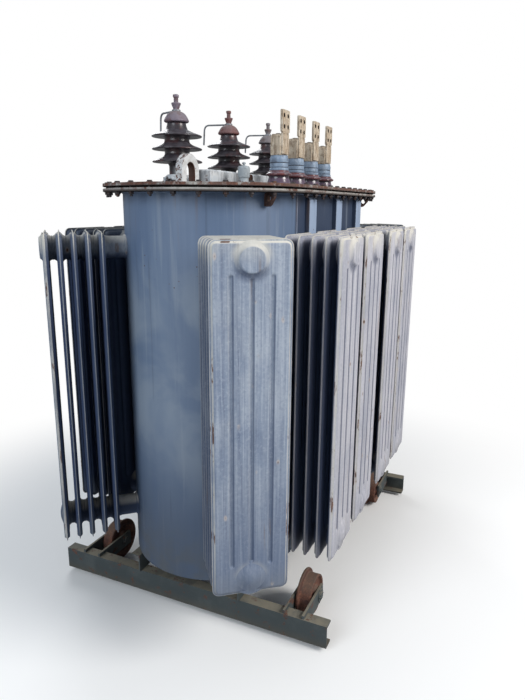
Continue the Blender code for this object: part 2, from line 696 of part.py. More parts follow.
def build_base():
    """Two cross beams with forks for the rollers, and two skids under the tank."""
    low = BEAM_TOP - BEAM_HEIGHT
    for end, word in ((-1, "near"), (1, "far")):
        beam = channel(f"cross_beam_{word}", BEAM_WIDTH, BEAM_HEIGHT, BEAM_WEB, BEAM_FLANGE,
                       BEAM_LENGTH, BASE_PAINT)
        quarter = -90.0 if end < 0 else 90.0
        beam.data.transform(Matrix.Rotation(math.radians(quarter), 4, 'Z'))
        beam.location = (end * (BEAM_INNER + BEAM_WIDTH), 0.0, low)
        forks = [build_fork(f"fork_{word}_{side}", end, side) for side in (-1, 1)]
        combine(beam, forks, 'UNION')
    for side, word in ((-1, "right"), (1, "left")):
        skid = channel(f"skid_{word}", SKID_WIDTH, SKID_HEIGHT, BEAM_WEB, BEAM_WEB,
                       SKID_LENGTH, BASE_PAINT)
        skid.location = (0.0, side * SKID_ACROSS - SKID_WIDTH / 2, BEAM_TOP + GAP)


def build_fork(name, end, side):
    """Two cheeks that stand out from a cross beam and hold one axle."""
    middle = side * ROLLER_GAUGE / 2
    inner = ROLLER_WIDTH / 2 + FORK_CLEAR
    low = ROLLER_RADIUS - FORK_HEIGHT / 2
    root = BEAM_INNER + BEAM_WIDTH - BEAM_WEB / 2
    tip = ROLLER_ALONG - FORK_HEIGHT / 2
    cheeks = []
    for cheek in (-1, 1):
        near = middle + cheek * inner
        far = near + cheek * FORK_PLATE
        xs = sorted((end * root, end * tip))
        ys = sorted((near, far))
        cheeks.append(box(f"{name}_cheek_{cheek}", (xs[0], ys[0], low),
                          (xs[1], ys[1], low + FORK_HEIGHT), BASE_PAINT))
    reach = inner + FORK_PLATE * 1.6
    rod = [(0.0, reach), (AXLE_RADIUS, reach), (AXLE_RADIUS, -reach), (0.0, -reach)]
    axle = baked(turned(name, rod, AXLE_STEPS, BASE_PAINT))
    axle.data.transform(Matrix.Rotation(math.pi / 2, 4, 'X'))
    axle.location = (end * ROLLER_ALONG, middle, ROLLER_RADIUS)
    combine(axle, cheeks, 'UNION')
    return axle


def build_rollers():
    """Four flanged rollers, each turning on its own axle and standing on a facet."""
    half = ROLLER_WIDTH / 2
    corner = 1 / math.cos(math.pi / ROLLER_STEPS)
    bore = AXLE_RADIUS * corner + AXLE_PLAY
    rim = ROLLER_TREAD - ROLLER_DISH
    outer = ROLLER_RADIUS * corner
    profile = [(bore, half), (ROLLER_HUB, half), (ROLLER_HUB + ROLLER_DISH, half - ROLLER_DISH),
               (rim - ROLLER_DISH, half - ROLLER_DISH), (rim, half), (outer, half),
               (outer, half - ROLLER_FLANGE), (ROLLER_TREAD, half - ROLLER_FLANGE * 1.3),
               (ROLLER_TREAD, -half), (bore, -half)]
    for end, end_word in ((-1, "near"), (1, "far")):
        for side, word in ((-1, "right"), (1, "left")):
            name = f"roller_{end_word}_{word}"
            place = (end * ROLLER_ALONG, side * ROLLER_GAUGE / 2, ROLLER_RADIUS)
            wheel = baked(turned(name, profile, ROLLER_STEPS, RUSTY_STEEL, place, closed=True))
            facet = Matrix.Rotation(math.pi / ROLLER_STEPS, 4, 'Z')
            wheel.data.transform(Matrix.Rotation(side * math.pi / 2, 4, 'X') @ facet)
            shade(wheel, 30.0)


build_tank()
build_radiators()
build_bushings()
build_lid_fittings()
build_hooks()
build_base()
build_rollers()
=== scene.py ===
"""The looks of the power transformer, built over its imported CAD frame.

Pressed radiator panels, smooth plates, porcelain, bolts and weathered paint are
made here as surfaces of two parameters. Metres, +Z up, in the frame's own axes.
"""

import json
import math

import bpy
import numpy as np
from mathutils import Matrix, Vector


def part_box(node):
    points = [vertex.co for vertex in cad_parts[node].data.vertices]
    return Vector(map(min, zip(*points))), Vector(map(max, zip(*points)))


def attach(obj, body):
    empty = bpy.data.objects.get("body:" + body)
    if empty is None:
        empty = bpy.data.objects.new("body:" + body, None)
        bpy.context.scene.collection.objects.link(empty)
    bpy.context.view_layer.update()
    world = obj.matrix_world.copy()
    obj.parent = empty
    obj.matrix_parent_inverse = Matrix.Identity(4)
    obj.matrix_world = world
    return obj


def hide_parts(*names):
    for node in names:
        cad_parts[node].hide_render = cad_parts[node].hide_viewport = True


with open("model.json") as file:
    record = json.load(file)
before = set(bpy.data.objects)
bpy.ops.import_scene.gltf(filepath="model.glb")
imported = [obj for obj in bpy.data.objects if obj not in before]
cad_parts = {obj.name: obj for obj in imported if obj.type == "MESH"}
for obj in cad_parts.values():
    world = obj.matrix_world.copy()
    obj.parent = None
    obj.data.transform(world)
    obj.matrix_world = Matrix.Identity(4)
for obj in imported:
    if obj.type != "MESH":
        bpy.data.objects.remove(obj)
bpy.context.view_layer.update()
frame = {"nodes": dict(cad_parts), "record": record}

# Sizes taken from the frame
TANK_LOW, TANK_HIGH = (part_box("tank_wall")[k].z for k in (0, 1))
LID_END, LID_REACH, LID_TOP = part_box("lid")[1]
HALF_STRAIGHT = LID_END - LID_REACH
TANK_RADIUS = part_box("tank_wall")[1].x - HALF_STRAIGHT
PANEL_LOW, PANEL_HIGH = (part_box("radiator_right_2")[k].z for k in (0, 1))
PANEL_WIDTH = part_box("radiator_right_2")[1].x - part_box("radiator_right_2")[0].x
PANEL_MIDDLE = (PANEL_LOW + PANEL_HIGH) / 2
ROLLER_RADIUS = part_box("roller_near_right")[1].z / 2
BEAM_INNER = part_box("cross_beam_far")[0].x

# Tank and lid
BODY = "transformer"
ENDS = ((-1, "near"), (1, "far"))
SIDES = ((-1, "right"), (1, "left"))
WALL = 0.006
SEAM_BEAD = 0.0024                    # radius of the bead up each seam
RIB_PLACES = (-0.305, 0.055, 0.385)
RIB_FOOT, RIB_DROP = 0.149, 0.012     # from the tank's underside, and from the flange
RIB_NARROW, RIB_WIDE = 0.0315, 0.0435  # half a rib's width, at its ends and between them
RIB_LOW, RIB_HIGH = 0.002, 0.022      # how far it stands out, at its ends and between them
LID_WAVE = 0.0012                     # how much the lid's edge rises and falls
WAVE_ALONG, WAVE_ACROSS = 11.0, 9.0   # radians of that wave to the metre
BOLT_INSET, BOLT_SPACING = 0.018, 0.094
EYE_ANGLES = {"right": 60.0, "left": 86.0}

# Radiators
PANEL_PITCH = 0.052
PANEL_COUNT = 5
PANEL_CORNER = 0.027
PANEL_LEAN = 0.12                     # degrees by which a panel may stand askew
RIM_HALF, BODY_RISE, BODY_CROWN = 0.0018, 0.0082, 0.0010  # half thicknesses
RIM_EDGE, BODY_EDGE = 0.0065, 0.0145  # from the panel's edge to the rim's end and to the body
VALLEY_DEPTH, VALLEY_FLOOR, VALLEY_REACH = 0.0064, 0.0020, 0.0115
VALLEYS = ((-1, 0.113), (0, 0.124), (1, 0.113))  # place across, and from the end to the point
VALLEY_POINT = 0.009                  # length over which a valley runs out
HEADER_INSET = 0.065                  # from a panel's ends to the header's axis
HEADER_STEPS = 40
END_STAND = 0.048                     # extra distance from the wall at the quarters
END_ANGLES = {"right": 39.0, "left": 47.0}

# Distances from a panel's edge, from a groove's line and from a panel's end, for the
# grid of the outermost panel and for that of the others
RIM_FINE = (0.0, 0.0015, 0.0030, 0.0060, 0.0075, 0.0090, 0.0107, 0.0125, 0.0145, 0.0165, 0.0200, 0.0290)
RIM_COARSE = (0.0, 0.0015, 0.0040, 0.0065, 0.0090, 0.0118, 0.0145, 0.0250, 0.0450)
GROOVE_FINE = (0.0, 0.0028, 0.0048, 0.0066, 0.0084, 0.0103, 0.0125)
GROOVE_COARSE = (0.0022, 0.0066, 0.0115)
BETWEEN_FINE = (0.0215, 0.0300, 0.0375, 0.0450, 0.0535)
BETWEEN_COARSE = (0.0375,)
END_FINE = (*np.arange(0.034, 0.107, 0.008), *np.arange(0.112, 0.131, 0.003), 0.134, 0.142, 0.180, 0.320)
END_COARSE = (0.055, 0.090, 0.108, 0.114, 0.120, 0.126, 0.132, 0.145, 0.180, 0.320)

# Bushings
CLAMP_NUTS = 6
NUT_CIRCLE = 0.0600
HORN_TURNS = (62.0, 90.0, 90.0)
HORN_REACH, HORN_ROD = 0.140, 0.0040
BLADE_WIDTH, BLADE_TALL, BLADE_THICK, BLADE_HOLE = 0.080, 0.0868, 0.010, 0.0072
BLADE_PLAY = 0.0002                   # from the blade's tip to the terminal's top
BLADE_BACK = -0.0250                  # from the bushing's axis

# Fittings and rollers
BOW_BAR = 0.032
EYE_TALL, EYE_REACH, EYE_HALF, EYE_HOLE = 0.052, 0.055, 0.007, 0.012
CHEEK = 0.0465                        # from a roller's middle to its fork's outer faces
WELD_BEAD, WELD_PLACE = 0.0032, 0.044
WELD_LOW, WELD_HIGH = 0.068, 0.131

# The stage and the viewpoint
FLOOR_REACH = 30.0
FLOOR_FADE_START, FLOOR_FADE_END = 1.25, 2.6
FLOOR_LIT = (0.42, 0.42, 0.42, 1.0)   # the floor that lights the object, in linear light
FLOOR_SEEN = (0.90, 0.90, 0.90, 1.0)  # the floor that the camera sees
WHITE = (1.0, 1.0, 1.0, 1.0)
WORLD_COLOR, WORLD_STRENGTH = (0.90, 0.95, 1.0, 1.0), 0.38
LAMP_AIM = (0.0, 0.0, 0.9)
# Each lamp's name, place, diameter, power in watts and colour
LAMPS = (("key", (-0.5, -6.2, 4.4), 3.4, 440.0, (1.0, 0.97, 0.93)),
         ("fill", (-6.6, 1.2, 3.8), 4.4, 235.0, (0.86, 0.93, 1.0)),
         ("rear", (4.2, 4.6, 5.2), 3.6, 170.0, (0.96, 0.98, 1.0)))
CAMERA_PLACE = (-2.689, -1.253, 1.74)
CAMERA_ANGLES = (24.47, 13.73, 0.46)  # degrees of yaw, downward pitch and roll
PHOTO_FOCAL = 590.2                   # pixels, for the height below
PHOTO_HEIGHT = 700


# Surfaces


def smooth_step(value, low, high):
    """0 at low and beyond, 1 at high and beyond, and 3 t squared less 2 t cubed between."""
    t = np.clip((np.asarray(value, float) - low) / (high - low), 0.0, 1.0)
    return t * t * (3 - 2 * t)


def rounded(corners, radius, steps=3):
    """A line of corners with every inner one rounded off by a short parabola: (1 - t)
    squared times its start, 2 t (1 - t) times the corner and t squared times its end."""
    corners = np.array(corners, float)
    t = np.arange(steps + 1)[:, None] / steps
    line = [corners[:1]]
    for before, here, after in zip(corners, corners[1:], corners[2:]):
        back, on = before - here, after - here
        cut = min(radius, 0.49 * np.linalg.norm(back), 0.49 * np.linalg.norm(on))
        start = here + back / np.linalg.norm(back) * cut
        end = here + on / np.linalg.norm(on) * cut
        line.append((1 - t) ** 2 * start + 2 * t * (1 - t) * here + t * t * end)
    return np.vstack([*line, corners[-1:]])


def moved(x, y, z):
    """A move."""
    return Matrix.Translation((x, y, z))


def turning(angle, axis="Z", place=(0.0, 0.0, 0.0)):
    """A turn in degrees about one axis, then a move."""
    return Matrix.Translation(place) @ Matrix.Rotation(math.radians(angle), 4, axis)


def places_round(place, count, start, radius):
    """Places spread evenly on a circle about an axis, from a starting angle."""
    for k in range(count):
        yield place @ turning(360.0 / count * k + start) @ moved(radius, 0.0, 0.0)


def middle(node):
    """The middle of a node's box along X and Y."""
    low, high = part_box(node)
    return (low.x + high.x) / 2, (low.y + high.y) / 2


def on_lid(node):
    """The place on the lid under the middle of a node."""
    return moved(*middle(node), LID_TOP)


def quarter_place(end, side, slant):
    """Foot on the wall and outward direction in degrees at a quarter of the round ends,
    where slant is the angle from the X axis."""
    out = (end * math.cos(math.radians(slant)), side * math.sin(math.radians(slant)))
    foot = (end * HALF_STRAIGHT + out[0] * TANK_RADIUS, out[1] * TANK_RADIUS, 0.0)
    return foot, math.degrees(math.atan2(out[1], out[0]))


def circle(radius, steps):
    """Points round a circle, radius times (cos, sin), as (across, up)."""
    angle = np.arange(steps) * 2 * math.pi / steps
    return radius * np.stack([np.cos(angle), np.sin(angle)], -1)


def upright(x, y, low, high, steps):
    """Evenly spaced points up a straight line."""
    return np.stack([np.full(steps, x), np.full(steps, y), np.linspace(low, high, steps)], -1)


def sweep_rows(path, section, normal):
    """Rows of path plus across times side plus up times normal, for a section of
    (across, up). Side is the path's direction crossed with its plane's normal."""
    path, section, normal = (np.array(v, float) for v in (path, section, normal))
    along = np.gradient(path, axis=0)
    along /= np.linalg.norm(along, axis=1)[:, None]
    side = np.cross(along, normal)
    return path[:, None] + side[:, None] * section[None, :, :1] + normal * section[None, :, 1:]


class Surface:
    """Gathers grids of points into one mesh with closed parts that face outward."""

    def __init__(self):
        self.points, self.faces, self.marks = [], [], []
        self.count = 0

    def grid(self, points, closed=False, mark=0.0, hollow=0.0, place=None):
        """Rows run along the part and columns close round it. The last row joins the
        first where closed, and both get a fan otherwise. Mark gives a point's rubbed paint
        and painted highlight, and hollow how deep it lies in a slot or groove and how much
        painted shade and dirt it takes, both from 0 to 1."""
        points = np.array(points, float)
        rows, columns = points.shape[:2]
        marks = np.stack([np.broadcast_to(np.asarray(v, float), (rows, columns)).ravel()
                          for v in (mark, hollow)])
        index = np.arange(rows * columns).reshape(rows, columns)
        ahead = np.roll(index, -1, axis=0) if closed else index[1:]
        here = index if closed else index[:-1]
        quads = np.stack([here, np.roll(here, -1, 1), np.roll(ahead, -1, 1), ahead], -1).reshape(-1, 4)
        flat, fans = points.reshape(-1, 3), np.zeros((0, 3), int)
        if not closed:
            flat = np.vstack([flat, points[0].mean(0), points[-1].mean(0)])
            marks = np.column_stack([marks, marks[:, :columns].mean(1), marks[:, -columns:].mean(1)])
            first, last = index[0], index[-1]
            low, high = np.full(columns, rows * columns), np.full(columns, rows * columns + 1)
            fans = np.vstack([np.stack([low, np.roll(first, -1), first], -1),
                              np.stack([high, last, np.roll(last, -1)], -1)])
        self.add(flat, quads, fans, marks, place)

    def add(self, flat, quads, fans, marks, place=None):
        """Take in one closed part, turned the right way out by the sign of its volume."""
        if place is not None:
            turn = np.array(place)
            flat = flat @ turn[:3, :3].T + turn[:3, 3]
        corners = np.vstack([quads[:, [0, 1, 2]], quads[:, [0, 2, 3]], fans])
        a, b, c = flat[corners[:, 0]], flat[corners[:, 1]], flat[corners[:, 2]]
        if np.einsum("ij,ij->i", a, np.cross(b, c)).sum() < 0:
            quads, fans = quads[:, ::-1], fans[:, ::-1]
        self.points.append(flat)
        self.marks.append(marks)
        self.faces += [quads + self.count, fans + self.count]
        self.count += len(flat)

    def turned(self, profile, place=None, steps=32, mark=0.0, hollow=0.0, closed=False):
        """A profile of (radius, height) turned about Z, as radius times (cos, sin) and
        the height. Where the profile isn't closed, its ends are closed flat."""
        profile = np.array(profile, float)
        flat = profile[:, :1, None] * circle(1.0, steps)
        level = np.repeat(profile[:, 1:, None], steps, 1)
        self.grid(np.concatenate([flat, level], -1), closed, mark, hollow, place)

    def soft_turned(self, corners, soft, place, steps, fine=3, **marks):
        """A turned profile whose corners are rounded first."""
        self.turned(rounded(corners, soft, fine), place, steps, **marks)

    def thread(self, core, crest, rises, low, pitch, count, place, steps):
        """Rings side by side that read as a thread, each with four corners."""
        for k in range(count):
            level = low + pitch * k + np.array(rises)
            self.turned(np.stack([(core, crest, crest, core), level], -1), place, steps)

    def swept(self, path, section, normal, mark=0.0, place=None):
        """A section carried along a flat path, with both ends closed."""
        self.grid(sweep_rows(path, section, normal), mark=mark, place=place)

    def block(self, low, high, soft=0.002, place=None):
        """A box with softened edges. Each row is a rectangle moved in by an inset, whose
        corners are cut by 0.7 of what the inset leaves of the softness."""
        low, high = np.array(low, float), np.array(high, float)
        soft = min(soft, (high - low).min() * 0.45)
        inset = soft * np.array([1.0, 0.3, 0.0, 0.0, 0.3, 1.0])
        level = np.concatenate([low[2] + soft * np.array([0.0, 0.3, 1.0]),
                                high[2] - soft * np.array([1.0, 0.7, 0.0])])
        cut = 0.7 * (soft - inset) + 1e-5
        corner = np.array([(-1, -1), (1, -1), (1, -1), (1, 1), (1, 1), (-1, 1), (-1, 1), (-1, -1)])
        shortened = np.array([(1, 0), (1, 0), (0, 1), (0, 1)] * 2)
        reach = (high - low)[:2] / 2 - inset[:, None, None] - cut[:, None, None] * shortened
        flat = (high + low)[:2] / 2 + corner * reach
        self.grid(np.concatenate([flat, np.repeat(level[:, None, None], 8, 1)], -1), place=place)

    def piece(self, name, material, slot, body=BODY, replaces=(), sharp=34.0):
        """Make the object, hang it on what it rides on, and hide the nodes it replaces."""
        mesh = bpy.data.meshes.new(name)
        points = np.vstack(self.points).astype(np.float32)
        counts = np.concatenate([np.full(len(f), f.shape[1]) for f in self.faces if len(f)])
        loops = np.concatenate([f.ravel() for f in self.faces if len(f)])
        mesh.vertices.add(len(points))
        mesh.vertices.foreach_set("co", points.ravel())
        mesh.loops.add(len(loops))
        mesh.loops.foreach_set("vertex_index", loops.astype(np.int32))
        mesh.polygons.add(len(counts))
        mesh.polygons.foreach_set("loop_start", (np.cumsum(counts) - counts).astype(np.int32))
        mesh.update(calc_edges=True)
        mesh.validate()
        mesh.polygons.foreach_set("use_smooth", np.ones(len(mesh.polygons), bool))
        mesh.set_sharp_from_angle(angle=math.radians(sharp))
        for word, values in zip(("wear_and_highlight", "hollow"), np.concatenate(self.marks, 1).astype(np.float32)):
            mesh.attributes.new(word, 'FLOAT', 'POINT').data.foreach_set("value", values)
        mesh.materials.append(material)
        item = bpy.data.objects.new(name, mesh)
        bpy.context.scene.collection.objects.link(item)
        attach(item, body)
        if replaces:
            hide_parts(*replaces)


def obround(radius, steps=40):
    """Points round the tank's outline: two straight sides, and two half circles of
    radius times (cos, sin). A column of radii gives a row of points for each."""
    turn = np.linspace(-math.pi / 2, math.pi / 2, steps + 1)
    far = np.stack([HALF_STRAIGHT + radius * np.cos(turn), radius * np.sin(turn)], -1)
    return np.concatenate([far, -far], -2)


def plate_ring(surface, profile, closed, mark=0.0, hollow=0.0, wave=0.0):
    """A profile of (radius, height) carried round the tank's outline. The wave lifts
    it by a sine along X times a cosine along Y."""
    profile = np.array(profile, float)
    ring = obround(profile[:, :1])
    level = profile[:, 1:] + wave * np.sin(ring[..., 0] * WAVE_ALONG) * np.cos(ring[..., 1] * WAVE_ACROSS)
    surface.grid(np.concatenate([ring, level[..., None]], -1), closed, mark, hollow)


# Paints and finishes, whose colours are as seen on a screen, 0 to 255


def linear(color):
    """A screen colour in linear light. Anything else, such as a node's output, stays."""
    if not isinstance(color, tuple) or len(color) == 4:
        return color
    shares = [value / 255.0 for value in color]
    return (*(c / 12.92 if c <= 0.04045 else ((c + 0.055) / 1.055) ** 2.4 for c in shares), 1.0)


def lighter(color, amount):
    """A screen colour with the same amount added to each of its values."""
    return tuple(value + amount for value in color)


def join(tree, socket, value):
    """Link a node's output to a socket, or write a plain value into it."""
    if isinstance(value, bpy.types.NodeSocket):
        tree.links.new(value, socket)
    else:
        socket.default_value = value


def add_node(tree, kind, inputs=(), **settings):
    """A new node with its settings, and with each input linked or written."""
    node = tree.nodes.new(f"ShaderNode{kind}")
    for word, value in settings.items():
        setattr(node, word, value)
    for key, value in dict(inputs).items():
        join(tree, node.inputs[key], value)
    return node


class Finish:
    """A Principled material built up in layers of colour, roughness and relief."""

    def __init__(self, name, color, roughness, metallic=0.0, coat=0.0, specular=0.5):
        self.material = bpy.data.materials.new(name)
        self.material.use_nodes = True
        self.tree = self.material.node_tree
        self.shader = self.tree.nodes["Principled BSDF"]
        self.shader.inputs["Metallic"].default_value = metallic
        self.shader.inputs["Coat Weight"].default_value = coat
        self.shader.inputs["Coat Roughness"].default_value = 0.20
        self.shader.inputs["Specular IOR Level"].default_value = specular
        self.coords = self.node("TexCoord").outputs
        self.color = color
        self.roughness = roughness
        self.relief = None

    def node(self, kind, inputs=(), **settings):
        """A new node of this material."""
        return add_node(self.tree, kind, inputs, **settings)

    def math(self, kind, first, second):
        """One step of arithmetic on two values."""
        return self.node("Math", {0: first, 1: second}, operation=kind).outputs[0]

    def place(self, drawn, shift=0.0):
        """The object's coordinates, drawn out along Z by a factor below 1 and shifted."""
        return self.node("Mapping", {"Vector": self.coords["Object"], "Scale": (1.0, 1.0, drawn),
                                     "Location": (shift, shift * 0.7, shift * 1.3)}).outputs[0]

    def grain(self, scale, detail=4.0, drawn=1.0, shift=0.0, rough=0.55, warp=0.0):
        """Noise from 0 to 1."""
        return self.node("TexNoise", {"Vector": self.place(drawn, shift), "Scale": scale, "Detail": detail,
                                      "Roughness": rough, "Distortion": warp}).outputs["Fac"]

    def cells(self, scale, drawn=1.0):
        """Distance to the nearest of scattered points, for spots."""
        return self.node("TexVoronoi", {"Vector": self.place(drawn), "Scale": scale}).outputs["Distance"]

    def height(self):
        """Height above the ground."""
        return self.node("SeparateXYZ", {0: self.coords["Object"]}).outputs["Z"]

    def facing_up(self):
        """1 where a face looks up and 0 where it looks sideways or down."""
        return self.step(self.node("SeparateXYZ", {0: self.coords["Normal"]}).outputs["Z"], 0.25, 0.9)

    def own(self, word):
        """The piece's own value of that name: rubbed paint with painted highlight, or hollow with painted
        shade and dirt.
        """
        return self.node("Attribute", attribute_name=word).outputs["Fac"]

    def step(self, value, low, high, start=0.0, end=1.0):
        """Start at low, end at high and an S-shaped change between them, where low may
        be the larger of the two."""
        if low > high:
            low, high, start, end = high, low, end, start
        return self.node("MapRange", {"Value": value, "From Min": low, "From Max": high, "To Min": start,
                                      "To Max": end}, interpolation_type='SMOOTHSTEP').outputs[0]

    def both(self, *masks):
        """The product of several masks."""
        result = masks[0]
        for mask in masks[1:]:
            result = self.math('MULTIPLY', result, mask)
        return result

    def either(self, *masks):
        """The largest of several masks."""
        result = masks[0]
        for mask in masks[1:]:
            result = self.math('MAXIMUM', result, mask)
        return result

    def blend(self, amount, first, second):
        """The first colour where the amount is 0 and the second where it is 1."""
        return self.node("Mix", {"Factor": amount, "A": linear(first), "B": linear(second)},
                         data_type='RGBA').outputs["Result"]

    def layer(self, mask, color, roughness=None):
        """Lay a colour, and perhaps its own roughness, over what is there."""
        self.color = self.blend(mask, self.color, color)
        if roughness is not None:
            self.roughness = self.node("Mix", {"Factor": mask, "A": self.roughness,
                                               "B": roughness}).outputs["Result"]

    def spread(self, value, low, high, share, color, roughness=None):
        """Lay a colour where the value passes from low to high, up to that share."""
        self.layer(self.step(value, low, high, 0.0, share), color, roughness)

    def vary(self, noise, share, light, above, dark, below, roughness=None):
        """Lay light over the noise's range above and dark over its range below."""
        self.spread(noise, *above, share, light, roughness)
        self.spread(noise, *below, share, dark)

    def raise_by(self, value, depth):
        """Relief of that depth in metres."""
        inputs = {"Distance": depth, "Strength": 1.0, "Height": value}
        if self.relief is not None:
            inputs["Normal"] = self.relief
        self.relief = self.node("Bump", inputs).outputs[0]

    def rust(self, mask, depth=0.0006):
        """Rust in three browns with a rough crust."""
        fine = self.grain(140.0, 5.0, rough=0.7)
        broad = self.grain(23.0, 3.0, shift=4.0)
        brown = self.blend(self.step(fine, 0.35, 0.68), (72, 48, 42), (116, 79, 64))
        brown = self.blend(self.step(broad, 0.42, 0.62, 0.0, 0.8), brown, (92, 72, 66))
        self.layer(mask, brown, 0.92)
        self.raise_by(self.both(mask, fine), depth)

    def done(self):
        """Join the layers to the shader."""
        join(self.tree, self.shader.inputs["Base Color"], linear(self.color))
        join(self.tree, self.shader.inputs["Roughness"], self.roughness)
        if self.relief is not None:
            join(self.tree, self.shader.inputs["Normal"], self.relief)
        return self.material


def tank_finish():
    """Blue-grey paint with drawn-out streaks, chalk at mid height, dirt and painted shade
    near the ground, painted shade on the flat walls and the ribs' flanks, and a painted
    highlight on the ribs' fronts.
    """
    coat = Finish("tank_paint", (91, 110, 138), 0.44)
    height = coat.height()
    streak = coat.grain(9.0, 5.0, 0.045, rough=0.62)
    cloud = coat.grain(3.2, 4.0, shift=2.0, warp=0.6)
    coat.spread(streak, 0.42, 0.70, 0.55, (112, 130, 154))
    coat.spread(streak, 0.44, 0.28, 0.50, (70, 87, 112))
    waist = coat.both(coat.step(height, 0.45, 0.80), coat.step(height, 1.66, 1.30))
    chalk = coat.both(waist, coat.step(cloud, 0.40, 0.66, 0.15, 0.75))
    coat.layer(chalk, (137, 149, 163), 0.62)
    # Painted shade on the flat walls between the ribs and on the ribs' flanks.
    coat.spread(coat.own("hollow"), 0.0, 1.0, 0.85, (30, 43, 68), 0.5)
    # Painted highlight on the ribs' fronts, and rubbed paint on the seam beads.
    coat.spread(coat.own("wear_and_highlight"), 0.2, 0.9, 0.85, (150, 167, 193), 0.6)
    fine = coat.grain(30.0, 4.0, 0.05, shift=7.0)
    coat.spread(fine, 0.58, 0.70, 0.32, (146, 156, 168))
    coat.spread(fine, 0.38, 0.30, 0.25, (58, 70, 88))
    drip = coat.both(coat.step(coat.cells(7.0, 0.25), 0.11, 0.02), coat.step(streak, 0.45, 0.60))
    coat.layer(coat.both(drip, waist, 0.8), (166, 174, 182), 0.8)
    # Painted shade: darker towards the bottom, against the light the floor throws up.
    low = coat.both(coat.step(height, 0.95, 0.25), coat.step(streak, 0.30, 0.65, 0.65, 0.95))
    coat.layer(coat.both(low, 0.80), (62, 71, 86), 0.75)
    soil = coat.both(coat.step(height, 0.50, 0.20), coat.step(coat.grain(14.0, 5.0, shift=3.0), 0.36, 0.68))
    coat.layer(coat.both(soil, 0.45), (92, 92, 86), 0.85)
    run = coat.grain(22.0, 3.0, 0.06, shift=11.0)
    under = coat.both(coat.step(height, 1.50, 1.80), coat.step(run, 0.60, 0.70, 0.0, 0.45))
    coat.layer(under, (112, 92, 80), 0.75)
    near_specks = coat.step(coat.grain(3.0, 2.0, shift=9.0), 0.54, 0.64)
    coat.rust(coat.both(coat.step(coat.cells(34.0), 0.13, 0.06), near_specks), 0.0003)
    coat.raise_by(cloud, 0.0030)
    coat.raise_by(coat.grain(420.0, 2.0), 0.00012)
    return coat.done()


def streaky_face(coat, cloud, chalky, shaded, shade_height):
    """Clouds, drawn-out streaks, hair lines and mottling, and painted shade below the shade height."""
    light, dark = lighter(chalky, 18), lighter(shaded, -14)
    wide, streak = coat.grain(11.0, 3.0, 0.020, shift=14.0), coat.grain(26.0, 5.0, 0.035, rough=0.6)
    hair, mottle = coat.grain(130.0, 3.0, 0.020, shift=21.0), coat.grain(90.0, 4.0, shift=17.0, rough=0.7)
    coat.vary(cloud, 0.55, chalky, (0.44, 0.66), shaded, (0.48, 0.30))
    coat.vary(wide, 0.40, chalky, (0.50, 0.70), shaded, (0.48, 0.30), 0.6)
    coat.vary(streak, 0.60, light, (0.52, 0.68), dark, (0.46, 0.30), 0.62)
    coat.vary(hair, 0.40, light, (0.52, 0.64), dark, (0.46, 0.34))
    coat.vary(mottle, 0.28, light, (0.52, 0.66), dark, (0.46, 0.34))
    # Painted shade, darker towards the ground.
    shade = coat.both(coat.step(coat.height(), shade_height, 0.22), coat.step(wide, 0.30, 0.60, 0.55, 0.85))
    coat.layer(shade, dark, 0.8)


def slot_shade_and_chalky_edges(coat, cloud, patches):
    """Painted shade in dark blue in the slots, chalk on rubbed rims, cream on upper edges,
    and brown between the panels' tops."""
    height, rim, hollow = coat.height(), coat.own("wear_and_highlight"), coat.own("hollow")
    # Painted shade in the slots: darkest just inside the rims, a little lighter further in.
    coat.spread(hollow, 0.0, 0.60, 0.92, (40, 54, 84), 0.75)
    coat.spread(hollow, 0.60, 1.00, 1.0, (72, 88, 120), 0.75)
    chalk = coat.both(coat.step(rim, 0.15, 0.75), coat.step(patches, 0.36, 0.60, 0.35, 0.85))
    coat.layer(chalk, (189, 187, 182), 0.80)
    top = coat.step(height, PANEL_HIGH - 0.10, PANEL_HIGH - 0.015)
    coat.layer(coat.both(top, coat.step(rim, 0.0, 0.5), 0.75), (206, 202, 190), 0.85)
    up = coat.both(coat.facing_up(), coat.step(rim, 0.02, 0.09), coat.step(patches, 0.30, 0.55, 0.45, 1.0))
    coat.layer(coat.both(up, 0.85), (205, 202, 194), 0.9)
    tops = coat.step(height, PANEL_HIGH - 0.030, PANEL_HIGH - 0.006)
    coat.layer(coat.both(tops, coat.step(hollow, 0.26, 0.50), 0.65), (116, 104, 94), 0.85)
    bare = coat.step(hollow, 0.5, 0.1)
    coat.layer(coat.both(top, bare, coat.step(cloud, 0.42, 0.64, 0.0, 0.4)), (190, 188, 182), 0.85)


def rusty_runs(coat, patches, chipped):
    """Brown runs on the open faces, and rust on chipped rims and in spots with a pale
    halo. Chipped is the noise above which a rim rusts."""
    rim, bare = coat.own("wear_and_highlight"), coat.step(coat.own("hollow"), 0.5, 0.1)
    run, near_run = coat.grain(58.0, 3.0, 0.030, shift=6.0), coat.grain(2.6, 3.0, shift=8.0)
    runs = coat.both(bare, coat.step(run, 0.60, 0.68, 0.0, 0.60), coat.step(near_run, 0.45, 0.58))
    coat.layer(runs, (112, 94, 82), 0.8)
    eaten = coat.both(coat.step(rim, 0.3, 0.7), coat.step(patches, chipped, chipped + 0.06))
    near_spots = coat.both(bare, coat.step(coat.grain(5.0, 3.0, shift=12.0), 0.48, 0.56))
    spot = coat.cells(21.0, 0.55)
    coat.layer(coat.both(coat.step(spot, 0.20, 0.11), near_spots, 0.5), (190, 176, 164), 0.8)
    coat.rust(coat.either(eaten, coat.both(coat.step(spot, 0.11, 0.05), near_spots)), 0.0005)


